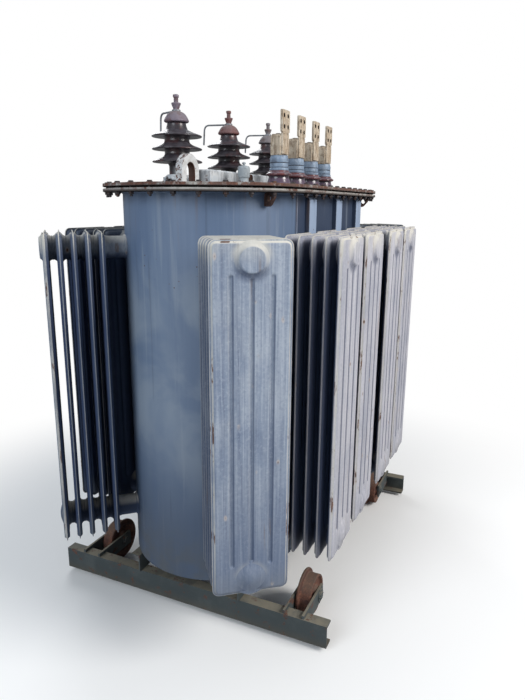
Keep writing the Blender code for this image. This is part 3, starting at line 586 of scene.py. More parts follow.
def radiator_finish(name, face, chalky, shaded, chipped, shade_height):
    """Pale blue-grey paint, streaked, chalky on its edges, rusty in spots, soiled below, and
    with painted shade low down and in the slots.
    """
    coat = Finish(name, face, 0.55, specular=0.30)
    cloud = coat.grain(5.0, 5.0, shift=5.0, warp=0.5)
    patches = coat.grain(17.0, 6.0, 0.35, shift=1.0, rough=0.66)
    streaky_face(coat, cloud, chalky, shaded, shade_height)
    slot_shade_and_chalky_edges(coat, cloud, patches)
    rusty_runs(coat, patches, chipped)
    soil = coat.both(coat.step(coat.height(), 0.50, 0.28), coat.step(cloud, 0.38, 0.62, 0.1, 0.5))
    coat.layer(soil, (112, 114, 112), 0.9)
    coat.raise_by(cloud, 0.0012)
    coat.raise_by(coat.grain(380.0, 2.0), 0.00012)
    return coat.done()


def plate_finish(name, eaten_share, ground):
    """Grey paint on the lid and the flange, eaten by rust along the edges, and dark along
    the edge's lowest millimetres as dirt and painted shade.
    """
    coat = Finish(name, ground, 0.62)
    coat.spread(coat.grain(7.0, 6.0, rough=0.65), 0.45, 0.65, 0.7, (176, 174, 168), 0.8)
    coat.spread(coat.grain(31.0, 5.0, shift=3.0), 0.52, 0.66, 0.6, (112, 108, 102), 0.85)
    crumbs = coat.step(coat.grain(24.0, 6.0, shift=6.0, rough=0.7), 0.56 - eaten_share, 0.72 - eaten_share)
    eaten = coat.both(coat.step(coat.own("wear_and_highlight"), 0.2, 0.9, 0.2, 1.0), crumbs)
    patches = coat.step(coat.grain(11.0, 6.0, shift=8.0, rough=0.68), 0.55, 0.63)
    coat.rust(coat.either(eaten, patches), 0.0008)
    # Dirt and painted shade at the edge's foot.
    coat.spread(coat.own("hollow"), 0.1, 0.9, 0.9, (56, 47, 44), 0.9)
    return coat.done()


def fitting_finish(name, ground, pale, dark):
    """Chalky paint with rust breaking through, most of all at the foot."""
    coat = Finish(name, ground, 0.70)
    coat.spread(coat.grain(26.0, 5.0, rough=0.62), 0.42, 0.66, 0.8, pale, 0.85)
    coat.spread(coat.grain(60.0, 4.0, 0.3, shift=2.0), 0.50, 0.66, 0.7, dark)
    coat.spread(coat.own("hollow"), 0.2, 0.9, 1.0, (46, 40, 38), 0.9)
    low = coat.step(coat.height(), LID_TOP + 0.030, LID_TOP + 0.002, 0.0, 0.125)
    patches = coat.grain(38.0, 6.0, shift=4.0, rough=0.7)
    coat.rust(coat.step(coat.math('ADD', patches, low), 0.62, 0.69), 0.0006)
    return coat.done()


def bow_finish():
    """The lifting bow: white paint on its faces, rust spots on the flanks, bare rust in the eye."""
    coat = Finish("bow_paint", (200, 202, 204), 0.72)
    coat.spread(coat.grain(45.0, 5.0), 0.45, 0.65, 0.7, (176, 174, 172), 0.85)
    fine = coat.grain(75.0, 5.0, shift=4.0, rough=0.7)
    broad = coat.grain(30.0, 5.0, shift=9.0, rough=0.7)
    flank = coat.both(coat.step(coat.own("wear_and_highlight"), 0.1, 0.6), coat.step(fine, 0.50, 0.58))
    inside = coat.step(coat.own("hollow"), 0.4, 0.9)
    coat.rust(coat.either(flank, inside, coat.step(broad, 0.66, 0.70)), 0.0008)
    return coat.done()


def rust_finish(name="rusty_steel", base=(84, 54, 45), flake=(118, 77, 60)):
    """Bare steel gone over to rust, darker in the hollows and dusty on top."""
    coat = Finish(name, base, 0.9)
    fine = coat.grain(120.0, 6.0, rough=0.72)
    broad = coat.grain(16.0, 5.0, shift=2.0)
    coat.spread(fine, 0.42, 0.66, 1.0, flake)
    coat.spread(broad, 0.46, 0.64, 0.75, (66, 46, 42))
    coat.spread(broad, 0.42, 0.30, 0.45, lighter(flake, 14))
    coat.layer(coat.both(coat.facing_up(), 0.30), (132, 118, 104))
    coat.raise_by(fine, 0.0012)
    coat.raise_by(broad, 0.0020)
    return coat.done()


def bolt_finish():
    """Dull plated bolts with rust and dark grime."""
    coat = Finish("bolt_steel", (66, 60, 62), 0.62, metallic=0.25)
    patches = coat.grain(55.0, 5.0, rough=0.7)
    coat.spread(coat.grain(150.0, 3.0, shift=3.0), 0.40, 0.60, 0.8, (44, 39, 40), 0.8)
    coat.spread(patches, 0.60, 0.70, 1.0, (124, 118, 114), 0.7)
    coat.rust(coat.step(patches, 0.46, 0.36), 0.0006)
    return coat.done()


def glaze(name, color, deep, red, shine):
    """Porcelain glaze before its dust: glossy and a little uneven. Deep is its colour
    where it pooled, and red where it is thin."""
    coat = Finish(name, color, shine, coat=0.35)
    coat.spread(coat.grain(24.0, 3.0), 0.42, 0.66, 1.0, deep, shine + 0.06)
    coat.spread(coat.grain(17.0, 3.0, shift=12.0), 0.53, 0.60, 0.6, red)
    return coat


def dusted(coat, dust, lying):
    """Dust on what faces up, a little grime elsewhere, and slight waves."""
    heaps = coat.step(coat.grain(46.0, 5.0, shift=4.0), 0.36, 0.64, 0.15, lying)
    coat.layer(coat.both(coat.facing_up(), heaps), dust, 0.62)
    coat.spread(coat.grain(70.0, 4.0, shift=9.0, rough=0.65), 0.58, 0.72, 0.35, dust, 0.5)
    coat.raise_by(coat.grain(60.0, 2.0, shift=1.0), 0.0003)
    return coat.done()


def hv_glaze_finish():
    """The high-voltage porcelain, nearly black."""
    return dusted(glaze("hv_glaze", (52, 45, 51), (34, 28, 33), (84, 48, 46), 0.32), (104, 103, 111), 0.50)


def lv_glaze_finish():
    """The low-voltage porcelain: red-brown shed, violet skirt with a shadow below the
    shed, and a red-brown foot."""
    coat = glaze("lv_glaze", (96, 54, 58), (66, 44, 54), (112, 60, 56), 0.20)
    height = coat.height()
    skirt = coat.step(height, LID_TOP + 0.0440, LID_TOP + 0.0400)
    coat.layer(coat.both(skirt, 0.85), (82, 68, 88))
    shadow = coat.step(height, LID_TOP + 0.0300, LID_TOP + 0.0360)
    coat.layer(coat.both(skirt, shadow, 0.85), (42, 33, 42))
    coat.spread(height, LID_TOP + 0.0090, LID_TOP + 0.0060, 1.0, (118, 72, 70))
    return dusted(coat, (140, 132, 142), 0.60)


def cap_finish(name, skin, patch):
    """Cast caps with a dull oxide skin."""
    coat = Finish(name, skin, 0.58, metallic=0.20)
    fine = coat.grain(90.0, 6.0, rough=0.7)
    coat.spread(fine, 0.45, 0.66, 0.6, lighter(skin, 24), 0.75)
    coat.spread(coat.grain(30.0, 4.0, shift=5.0), 0.48, 0.62, 0.8, patch, 0.85)
    coat.layer(coat.both(coat.facing_up(), 0.40), (150, 144, 146), 0.85)
    coat.raise_by(fine, 0.0006)
    return coat.done()


def horn_finish():
    """Galvanised rod gone dull grey."""
    coat = Finish("horn_steel", (126, 130, 136), 0.48, metallic=0.45)
    coat.spread(coat.grain(60.0, 5.0, rough=0.68), 0.48, 0.66, 0.8, (92, 90, 92), 0.75)
    coat.spread(coat.grain(180.0, 3.0, shift=3.0), 0.58, 0.68, 0.7, (120, 98, 84), 0.85)
    coat.raise_by(coat.grain(240.0, 3.0), 0.0002)
    return coat.done()


def terminal_finish():
    """Weathered tin-plated brass: tan, streaked and pitted."""
    coat = Finish("terminal_metal", (184, 168, 147), 0.62, metallic=0.05)
    fine = coat.grain(85.0, 6.0, 0.5, rough=0.68)
    broad = coat.grain(26.0, 4.0, shift=3.0)
    coat.spread(broad, 0.44, 0.64, 0.7, (202, 190, 172), 0.7)
    coat.spread(broad, 0.42, 0.30, 0.6, (164, 140, 112), 0.7)
    coat.spread(fine, 0.48, 0.62, 0.80, (136, 117, 98), 0.8)
    streak = coat.grain(120.0, 4.0, 0.08, shift=15.0)
    coat.spread(streak, 0.54, 0.66, 0.6, (112, 94, 78), 0.8)
    coat.spread(streak, 0.44, 0.34, 0.5, (206, 198, 186), 0.8)
    coat.spread(coat.grain(210.0, 3.0, shift=8.0), 0.62, 0.70, 0.8, (70, 58, 48), 0.9)
    coat.spread(coat.own("hollow"), 0.80, 0.98, 1.0, (48, 40, 36), 0.9)
    coat.raise_by(fine, 0.0006)
    return coat.done()


def collar_finish():
    """Blue-grey cast collars over the low-voltage porcelain."""
    coat = Finish("collar_metal", (120, 138, 160), 0.50, metallic=0.10)
    fine = coat.grain(80.0, 5.0, 0.4, rough=0.66)
    coat.spread(fine, 0.48, 0.66, 0.6, (150, 164, 180), 0.7)
    coat.spread(coat.grain(34.0, 5.0, shift=6.0), 0.54, 0.66, 0.7, (92, 100, 116), 0.85)
    # Darker in the collar's grooves.
    coat.spread(coat.own("hollow"), 0.2, 0.9, 1.0, (52, 54, 62), 0.9)
    coat.raise_by(fine, 0.0004)
    return coat.done()


def base_finish():
    """Dark green-grey paint under dust and soil, rusty where it is scraped."""
    coat = Finish("base_paint", (62, 70, 72), 0.62)
    cloud = coat.grain(9.0, 6.0, rough=0.66)
    coat.spread(cloud, 0.44, 0.66, 0.6, (84, 90, 90), 0.8)
    coat.layer(coat.both(coat.facing_up(), coat.step(cloud, 0.32, 0.56, 0.4, 0.95)), (124, 118, 104), 0.95)
    coat.rust(coat.step(coat.grain(19.0, 6.0, shift=5.0, rough=0.72), 0.57, 0.64), 0.0008)
    coat.spread(coat.height(), 0.07, 0.0, 0.55, (92, 84, 70), 0.95)
    coat.raise_by(coat.grain(260.0, 3.0), 0.0003)
    return coat.done()


def rubber_finish():
    """Aged black rubber, greyed and cracked."""
    coat = Finish("gasket_rubber", (24, 24, 25), 0.85)
    coat.spread(coat.grain(60.0, 5.0), 0.50, 0.66, 0.6, (52, 50, 49))
    coat.raise_by(coat.grain(220.0, 4.0), 0.0004)
    return coat.done()


TANK_PAINT = tank_finish()
RADIATOR_PAINT = radiator_finish("radiator_paint", (127, 139, 158), (156, 164, 176), (102, 115, 139),
                                 0.56, 1.05)
# A paler copy of the radiator paint as painted sunlight, and a darker one as painted shade.
SUNLIT_COPY_PAINT = radiator_finish("radiator_paint_painted_sunlight", (166, 167, 178), (184, 183, 190), (140, 144, 158),
                              0.54, 0.40)
SHADED_COPY_PAINT = radiator_finish("radiator_paint_painted_shade", (98, 110, 130), (122, 131, 144), (78, 90, 112),
                              0.57, 1.05)
LID_PAINT = plate_finish("lid_paint", 0.20, (150, 150, 148))
FLANGE_PAINT = plate_finish("flange_paint", 0.05, (140, 137, 134))
FITTING_PAINT = fitting_finish("fitting_paint", (184, 190, 196), (204, 205, 206), (136, 140, 146))
VENT_PAINT = fitting_finish("vent_paint", (146, 154, 160), (174, 181, 186), (98, 104, 110))
BOW_PAINT = bow_finish()
RUSTY_STEEL = rust_finish()
DARK_RUST = rust_finish("dark_rusty_steel", (64, 46, 42), (96, 68, 58))
BOLT_STEEL = bolt_finish()
HV_GLAZE = hv_glaze_finish()
LV_GLAZE = lv_glaze_finish()
CAP_PAINTS = (cap_finish("cap_metal", (116, 106, 118), (104, 78, 80)),
              cap_finish("cap_metal_red", (108, 78, 78), (112, 62, 54)),
              cap_finish("cap_metal_grey", (116, 110, 114), (104, 84, 80)))
HORN_STEEL = horn_finish()
TERMINAL_METAL = terminal_finish()
COLLAR_METAL = collar_finish()
BASE_PAINT = base_finish()
RUBBER = rubber_finish()


# The tank, its flange, gasket and lid


def build_tank():
    """Smooth wall with pressed ribs, a weld bead under the flange and one up each seam,
    and painted shade on its flat sides.
    """
    wall = Surface()
    outer, inner = TANK_RADIUS, TANK_RADIUS - WALL
    # The flat sides carry painted shade through hollow.
    flat = smooth_step(np.abs(obround(outer)[:, 1]), outer * 0.9985, outer)[None, :]
    shell = [(inner, TANK_LOW), (outer - 0.001, TANK_LOW), (outer, TANK_LOW + 0.001),
             (outer, (TANK_LOW + TANK_HIGH) / 2), (outer, TANK_HIGH), (inner, TANK_HIGH)]
    plate_ring(wall, shell, True, hollow=flat)
    for side in (-1, 1):
        for x in RIB_PLACES:
            build_rib(wall, x, side)
    bead = rounded([(outer - 0.002, TANK_HIGH - 0.007), (outer + 0.002, TANK_HIGH - 0.006),
                    (outer + 0.005, TANK_HIGH - 0.001), (outer - 0.002, TANK_HIGH)], 0.002, 2)
    plate_ring(wall, bead, True)
    for end in (-1, 1):
        for side in (-1, 1):
            seam = upright(end * HALF_STRAIGHT, side * (outer + 0.0005), TANK_LOW, TANK_HIGH, 24)
            wall.swept(seam, circle(SEAM_BEAD, 8), (1.0, 0.0, 0.0), mark=0.8)
    wall.piece("tank_wall_smooth", TANK_PAINT, "tank_paint", replaces=("tank_wall",))


def build_rib(wall, x, side):
    """One rib: a flat-topped section that widens and rises out of the wall at its foot
    and goes back at its head. Its front takes a painted highlight and its flanks painted shade."""
    foot, head, root = TANK_LOW + RIB_FOOT, TANK_HIGH - RIB_DROP, TANK_RADIUS - 0.015
    rows = []
    for z, share in ((foot, 0.0), (foot + 0.003, 0.5), (foot + 0.012, 1.0),
                     (head - 0.012, 1.0), (head - 0.003, 0.5), (head, 0.0)):
        half = RIB_NARROW + (RIB_WIDE - RIB_NARROW) * share
        out = TANK_RADIUS + RIB_LOW + (RIB_HIGH - RIB_LOW) * share
        ring = rounded([(-half, root), (-half, out - 0.004), (0.005 - half, out), (half - 0.005, out),
                        (half, out - 0.004), (half, root)], 0.003)
        rows.append(np.column_stack([side * ring + (x, 0.0), np.full(len(ring), z)]))
    flank = smooth_step(np.abs(ring[:, 0]) / half, 0.90, 0.97)[None, :]
    # Mark paints the front's highlight, hollow paints the flanks' shade.
    wall.grid(rows, mark=1 - flank, hollow=flank)


def build_plate(name, node, closed, wave, grime_and_shade, material):
    """Flange or lid: a flat plate with a rounded, rubbed edge, whose lowest few millimetres
    are darkened as dirt and painted shade."""
    inner = TANK_RADIUS - WALL
    low, high = (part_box(node)[k].z for k in (0, 1))
    clean = low + grime_and_shade + 0.0025
    edge = rounded([(inner, low), (LID_REACH - 0.02, low), (LID_REACH, low), (LID_REACH, clean - 0.0020),
                    (LID_REACH, clean), (LID_REACH, high), (LID_REACH - 0.02, high), (inner, high)],
                   0.0016, 2)
    mark_share = smooth_step(edge[:, :1], LID_REACH - 0.012, LID_REACH - 0.001)
    # Dirt and painted shade on the edge's lowest millimetres.
    grimy_and_shaded = smooth_step(edge[:, 1:], clean, low + grime_and_shade)
    plate = Surface()
    plate_ring(plate, edge, closed, mark_share, grimy_and_shaded, wave)
    plate.piece(name, material, "lid_paint", replaces=(node,))


def build_gasket():
    """The gasket between flange and lid, a little bulged."""
    low, high = (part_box("lid_gasket")[k].z for k in (0, 1))
    inner, reach = TANK_RADIUS - WALL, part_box("lid_gasket")[1].y
    seal = Surface()
    plate_ring(seal, rounded([(inner, low), (reach - 0.001, low), (reach, (low + high) / 2),
                              (reach - 0.001, high), (inner, high)], 0.001, 1), True)
    seal.piece("gasket_smooth", RUBBER, "gasket_rubber", replaces=("lid_gasket",))


def along_outline(radius, spacing):
    """Evenly spaced places on the outline at one radius, with the outward angle of each.
    A place runs back along a straight side, and then round the end as radius times
    (-sin, cos) of its distance over the radius."""
    straight, bend = 2 * HALF_STRAIGHT, math.pi * radius
    count = round(2 * (straight + bend) / spacing)
    for k in range(count):
        s = (k + 0.5) / count * 2 * (straight + bend)
        half, s = divmod(s, straight + bend)
        turn = max(s - straight, 0.0) / radius
        x, y = HALF_STRAIGHT - min(s, straight) - radius * math.sin(turn), radius * math.cos(turn)
        sign = 1 if half < 1 else -1
        yield sign * x, sign * y, 90.0 + math.degrees(turn) + 180.0 * half


def hexagon(radius, low, high, chamfer=0.0012):
    """The profile of a hexagonal head or nut, for six steps."""
    inner = radius - chamfer
    return [(inner, low), (radius, low + chamfer), (radius, high - chamfer), (inner, high)]


def build_lid_bolts():
    """Bolts round the lid: head and washer above, bare shank in the gap, nut and thread below."""
    bolts = Surface()
    flange_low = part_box("tank_flange")[0].z
    chance = np.random.default_rng(7)
    for x, y, angle in along_outline(LID_REACH - BOLT_INSET, BOLT_SPACING):
        tilt = turning(angle + chance.uniform(0, 60)) @ turning(chance.uniform(-1.5, 1.5), 'X')
        above = moved(x, y, LID_TOP) @ tilt
        bolts.turned([(0.0125, -0.001), (0.0125, 0.0016), (0.0115, 0.0022)], above, 14)
        bolts.turned(hexagon(0.0100, 0.0015, 0.0066), above, 6)
        bolts.turned([(0.0055, -0.040), (0.0055, 0.003)], above, 8)
        below = moved(x, y, flange_low) @ tilt
        bolts.turned([(0.0130, -0.0022), (0.0130, 0.001)], below, 14)
        bolts.turned(hexagon(0.0108, -0.0115, -0.002), below, 6)
        end = -0.0165 - chance.uniform(0, 0.006)
        bolts.turned([(0.0040, end), (0.0056, end + 0.0015), (0.0056, -0.010)], below, 10)
    bolts.piece("lid_bolts", BOLT_STEEL, "rusty_steel")


# The radiators


def panel_columns(fine):
    """Places across a panel, close together at the rims and at the three grooves."""
    half = PANEL_WIDTH / 2
    rim, groove, between = (np.array(v) for v in ((RIM_FINE, GROOVE_FINE, BETWEEN_FINE) if fine else
                                                  (RIM_COARSE, GROOVE_COARSE, BETWEEN_COARSE)))
    lines = np.concatenate([np.concatenate([groove, -groove]) + n * half / 2 for n in (-1, 0, 1)])
    spread = np.concatenate([between + n * half / 2 for n in (-1, 0)] + [[-0.75 * half, 0.75 * half]])
    return np.unique(np.round(np.concatenate([rim - half, half - rim, lines, spread]), 6))


def panel_grid(fine):
    """One pressed panel centred on x = 0, as a grid, with each point's distance from
    the edge and from the panel's end, its share of a valley and its offset from it.

    The edge distance is that of a rectangle with rounded corners. Half the thickness
    is the welded rim's, and rises in an S to the body's. Each of the four channels is
    crowned by a parabola. Three valleys run along the body, whose sides are S-shaped
    and whose ends are round.
    """
    across = panel_columns(fine)
    ends = np.array((RIM_FINE + END_FINE) if fine else (RIM_COARSE[:-1] + END_COARSE))
    z = np.concatenate([PANEL_LOW + ends, PANEL_HIGH - ends[::-1]])
    corner, width = PANEL_CORNER, PANEL_WIDTH / 2
    from_end = (PANEL_HIGH - PANEL_LOW) / 2 - np.abs(z - PANEL_MIDDLE)
    cut = np.clip(corner - from_end, 0.0, corner)
    narrow = width - corner + np.sqrt(corner ** 2 - cut ** 2)
    y = across[None, :] * (narrow / width)[:, None]
    inward = from_end[:, None] + 0 * y
    qy, qz = np.abs(y) - (width - corner), corner - inward
    outside = np.hypot(np.maximum(qy, 0.0), np.maximum(qz, 0.0))
    edge = corner - outside - np.minimum(np.maximum(qy, qz), 0.0)
    channel = np.mod(y + width, width / 2) / (width / 4) - 1.0
    body = BODY_RISE + BODY_CROWN * (1 - channel ** 2)
    thick = RIM_HALF + body * smooth_step(edge, RIM_EDGE, BODY_EDGE)
    valley, offset = 0.0 * y, 0.0 * y + 1.0
    for number, start in VALLEYS:
        side = y - number * width / 2
        past = np.hypot(side, np.minimum(inward - start - VALLEY_POINT, 0.0))
        valley = np.maximum(valley, 1.0 - smooth_step(past, VALLEY_FLOOR, VALLEY_REACH))
        offset = np.where(np.abs(side) < np.abs(offset), side, offset)
    thick -= VALLEY_DEPTH * valley
    front = np.stack([thick, y, z[:, None] + 0 * y], -1)
    back = (front * (-1, 1, 1))[:, ::-1]
    return np.concatenate([front, back], 1), edge, inward, valley, offset


def panel_marks(edge, inward, valley):
    """Rubbed rims and painted shade of a side that faces the next panel: the painted shade
    starts a few millimetres inside its rim, and is less near the ends."""
    deep = 0.55 * smooth_step(edge, 0.0010, 0.0100) + 0.45 * smooth_step(edge, 0.006, 0.045)
    deep *= 0.45 + 0.55 * smooth_step(inward, 0.004, 0.16)
    wear_and_highlight = 0.40 * (1 - smooth_step(edge, 0.0010, 0.0045))
    return wear_and_highlight, np.maximum.reduce([deep, 0.45 * valley, 0.22 + 0 * edge])


def face_marks(edge, valley, offset, y, z):
    """Marks of the outermost face: a rubbed line at its rim's edge and a pale line on its
    shoulder as painted highlight, painted light on one side of each valley and painted
    shade on the other, slightly darker valleys, and painted light above the plug and
    painted shade below it."""
    plug = np.where(z > PANEL_MIDDLE, PANEL_HIGH - HEADER_INSET, PANEL_LOW + HEADER_INSET)
    away = np.hypot(y, z - plug)
    rise = (z - plug) / np.maximum(away, 1e-6)
    # Painted light above the plug and painted shade below it.
    pale = smooth_step(away, 0.092, 0.052) * smooth_step(rise, -0.7, 0.4)
    shaded_below = smooth_step(away, 0.090, 0.058) * smooth_step(rise, 0.0, -0.9)
    thin = 1 - smooth_step(edge, 0.0003, 0.0030)
    # Painted highlight along the shoulder.
    double = smooth_step(edge, 0.0050, 0.0085) * smooth_step(edge, 0.0135, 0.0095)
    sides = valley > 0.02
    # Painted light on one side of each valley and painted shade on the other.
    bright_side = sides * smooth_step(offset, -0.0125, -0.0100) * smooth_step(offset, -0.0060, -0.0085)
    dark_side = sides * smooth_step(offset, 0.0030, 0.0066) * smooth_step(offset, 0.0115, 0.0084)
    return (np.maximum.reduce([thin, double, 0.36 * pale, 0.30 * bright_side]),
            np.maximum.reduce([0.08 * valley, 0.36 * dark_side, 0.36 * shaded_below]))


def build_panel(outermost):
    """Grid and marks of one panel, for both of its sides: rubbed paint, painted light and painted shade."""
    grid, edge, inward, valley, offset = panel_grid(outermost)
    back = panel_marks(edge, inward, valley)
    front = back
    if outermost:
        columns = edge.shape[1]
        front = face_marks(edge, valley, offset, grid[:, :columns, 1], grid[:, :columns, 2])
    return (grid, *(np.concatenate([ahead, behind[:, ::-1]], 1) for ahead, behind in zip(front, back)))


def header_profile(stand, domed):
    """A header from the wall to its outer end: weld, pipe, pressed collars that meet,
    and a round plug on a flared foot, or a dome where domed."""
    pipe, collar, face = 0.0445, 0.0580, 0.0095
    line = [(pipe, -0.014), (0.0505, -0.001), (0.0500, 0.003), (pipe, 0.0075)]
    for number in range(1, PANEL_COUNT + 1):
        x = stand + number * PANEL_PITCH
        if number == 1:
            line += [(pipe, x - face - 0.018), (pipe + 0.0025, x - face - 0.008)]
        line += [(collar, x - face + 0.0005), (collar, x), (collar, x + face - 0.0005)]
        if number < PANEL_COUNT:
            gap = x + PANEL_PITCH / 2
            line += [(0.0500, x + face + 0.006), (0.0468, gap - 0.004), (0.0466, gap - 0.0018), (0.0484, gap),
                     (0.0466, gap + 0.0018), (0.0468, gap + 0.004), (0.0500, x + PANEL_PITCH - face - 0.006)]
    tip = stand + PANEL_COUNT * PANEL_PITCH + face
    if domed:
        radii = np.linspace(0.070, 0.005, 12)
        line += list(zip(radii, tip - 0.0012 + 0.0150 * smooth_step(radii, 0.072, 0.004)))
    else:
        line += [(0.0620, tip - 0.0006), (0.0575, tip + 0.0018), (0.0520, tip + 0.0040),
                 (0.0470, tip + 0.0074), (0.0440, tip + 0.0108), (0.0428, tip + 0.0126),
                 (0.0416, tip + 0.0138), (0.0380, tip + 0.0140)]
    return np.array(line)


def build_header(stack, here, stand, domed):
    """One header through the stack, with painted shade where it runs between the panels. The
    upper one has painted shade below the plug's foot and a pale ring above it, a painted
    highlight."""
    downward = smooth_step(circle(1.0, HEADER_STEPS)[:, 0], 0.0, 0.9)[None, :]
    profile = header_profile(stand, domed)
    radius, panels = profile[:, :1], (profile[:, 1:] - stand) / PANEL_PITCH
    outside = smooth_step(panels, 5.05, 5.18)
    inside = 1 - smooth_step(panels, 4.3, 4.6)
    foot_ring = outside * smooth_step(radius, 0.0425, 0.0455) * (not domed)
    # Rubbed paint, and a painted highlight on the upper side of the plug's foot.
    mark_share = 0.10 + 0.08 * outside + 0.20 * foot_ring * (1 - downward)
    # Painted shade between the panels and below the plug's foot.
    grime_and_shade = 0.65 * inside * domed + (0.45 * inside + 0.36 * foot_ring) * downward
    z = PANEL_LOW + HEADER_INSET if domed else PANEL_HIGH - HEADER_INSET
    at = here @ moved(0.0, 0.0, z) @ turning(90.0, 'Y')
    stack.turned(profile, at, HEADER_STEPS, mark_share, np.minimum(grime_and_shade, 1.0))


def radiator_places():
    """Name, foot on the wall, direction, extra distance and paint of each radiator. The
    right row takes a paler copy of the paint as painted sunlight, and the left side a
    darker copy as painted shade."""
    for side, word in SIDES:
        row_paint, end_paint = (SHADED_COPY_PAINT, SHADED_COPY_PAINT) if side > 0 else (SUNLIT_COPY_PAINT, RADIATOR_PAINT)
        for number in range(1, 5):
            name = f"radiator_{word}_{number}"
            yield name, (middle(name)[0], side * TANK_RADIUS, 0.0), side * 90.0, 0.0, row_paint
        for end, end_word in ENDS:
            foot, angle = quarter_place(end, side, END_ANGLES[word])
            yield f"radiator_{end_word}_{word}", foot, angle, END_STAND, end_paint


def build_radiators():
    """Four radiators along each side and one at each quarter, all from one panel."""
    inner_panel, outer_panel = build_panel(False), build_panel(True)
    chance = np.random.default_rng(11)
    for name, foot, angle, stand, paint in radiator_places():
        stack = Surface()
        here = turning(angle, 'Z', foot)
        for number in range(1, PANEL_COUNT + 1):
            lean = turning(chance.uniform(-PANEL_LEAN, PANEL_LEAN))
            at = here @ moved(stand + number * PANEL_PITCH, 0.0, 0.0) @ lean
            grid, wear_and_highlight, hollow = outer_panel if number == PANEL_COUNT else inner_panel
            stack.grid(grid, mark=wear_and_highlight, hollow=hollow, place=at)
        for domed in (True, False):
            build_header(stack, here, stand, domed)
        stack.piece(f"{name}_pressed", paint, "radiator_paint", replaces=(name,), sharp=48.0)


# The high-voltage bushings


def hv_outline():
    """High-voltage porcelain, bottom to top: column, three drooping sheds, shoulder, neck."""
    line = [(0.0330, 0.030), (0.0350, 0.040), (0.0350, 0.080), (0.0400, 0.090)]
    for number in range(3):
        rim = 0.096 + number * 0.051
        core = 0.0520 if number < 2 else 0.0480
        line += [(0.060, rim + 0.0020), (0.085, rim + 0.0010), (0.099, rim - 0.0022), (0.1030, rim - 0.0025),
                 (0.1050, rim + 0.0005), (0.1030, rim + 0.0038), (0.090, rim + 0.0085), (0.070, rim + 0.0155),
                 (core + 0.005, rim + 0.0230)]
        if number < 2:
            line += [(core, rim + 0.030), (core, rim + 0.044)]
    line += [(0.0465, 0.2240), (0.0440, 0.230), (0.0405, 0.240), (0.0385, 0.250), (0.0340, 0.254)]
    return rounded(line, 0.004)


def build_hv_clamp(number, foot):
    """Clamp ring with six lugs over the porcelain's foot, and its nuts on their studs."""
    clamp = Surface()
    clamp.soft_turned([(0.068, 0.0), (0.068, 0.009), (0.060, 0.012)], 0.002, foot, 48)
    clamp.turned([(0.050, 0.010), (0.050, 0.030)], foot, 32, hollow=1.0)
    clamp.soft_turned([(0.052, 0.026), (0.0585, 0.027), (0.0585, 0.034), (0.050, 0.039), (0.0455, 0.0450),
                       (0.036, 0.0452)], 0.003, foot, 48)
    for at in places_round(foot, CLAMP_NUTS, 15.0, 0.0):
        clamp.block((0.047, -0.009, 0.008), (0.0600, 0.009, 0.032), 0.003, at)
    clamp.piece(f"hv_clamp_ring_{number}", FITTING_PAINT, "fitting_paint", replaces=(f"hv_clamp_{number}",))
    nuts = Surface()
    for at in places_round(foot, CLAMP_NUTS, 45.0, NUT_CIRCLE):
        nuts.turned([(0.0100, 0.010), (0.0100, 0.0135)], at, 14)
        nuts.turned(hexagon(0.0085, 0.013, 0.021), at, 6)
        nuts.turned([(0.0045, 0.014), (0.0045, 0.034), (0.0036, 0.0355)], at, 10)
    nuts.piece(f"hv_clamp_nuts_{number}", BOLT_STEEL, "rusty_steel")


def build_hv_cap(number, foot, paint):
    """Bell-shaped cap, its nuts, and the threaded stud with a cap nut."""
    cap = Surface()
    cap.soft_turned([(0.036, 0.2535), (0.0470, 0.2530), (0.0515, 0.2560), (0.0520, 0.2610), (0.0490, 0.2665),
                     (0.0445, 0.2755), (0.0370, 0.2860), (0.0270, 0.2935), (0.0180, 0.2965),
                     (0.0150, 0.2980)], 0.004, foot, 48)
    cap.soft_turned([(0.0140, 0.2940), (0.0150, 0.2960), (0.0150, 0.3040), (0.0130, 0.3055)],
                    0.002, foot, 28, 2)
    cap.soft_turned([(0.0120, 0.3040), (0.0125, 0.3080), (0.0190, 0.3240), (0.0200, 0.3270),
                     (0.0190, 0.3300), (0.0130, 0.3310)], 0.002, foot, 36)
    cap.turned([(0.0088, 0.328), (0.0088, 0.3520), (0.0080, 0.3535)], foot, 20)
    cap.soft_turned([(0.0080, 0.3480), (0.0115, 0.3500), (0.0128, 0.3560), (0.0120, 0.3618),
                     (0.0070, 0.3630)], 0.002, foot, 8, 2)
    cap.thread(0.0086, 0.0096, (0.0, 0.0007, 0.0009, 0.0016), 0.3320, 0.0024, 7, foot, 20)
    cap.piece(f"hv_cap_{number}", paint, "cap_metal", replaces=(f"hv_terminal_{number}",))


def build_hv_horn(number, foot, turn):
    """Arcing horn on a ring: a rod that goes out from the cap, round a bend, and down."""
    line = rounded([(0.010, 0.2990), (HORN_REACH - 0.006, 0.3020), (HORN_REACH, 0.2100)], 0.026, 8)
    side = np.array([math.cos(math.radians(turn)), math.sin(math.radians(turn))])
    path = np.column_stack([line[:, :1] * side, line[:, 1]])
    horn = Surface()
    horn.swept(path, circle(HORN_ROD, 12), (-side[1], side[0], 0.0), place=foot)
    horn.soft_turned([(0.0150, 0.2945), (0.0180, 0.2955), (0.0180, 0.3030), (0.0150, 0.3040)],
                     0.001, foot, 28, 2)
    horn.piece(f"hv_horn_{number}", HORN_STEEL, "cap_metal", replaces=(f"hv_terminal_{number}",))


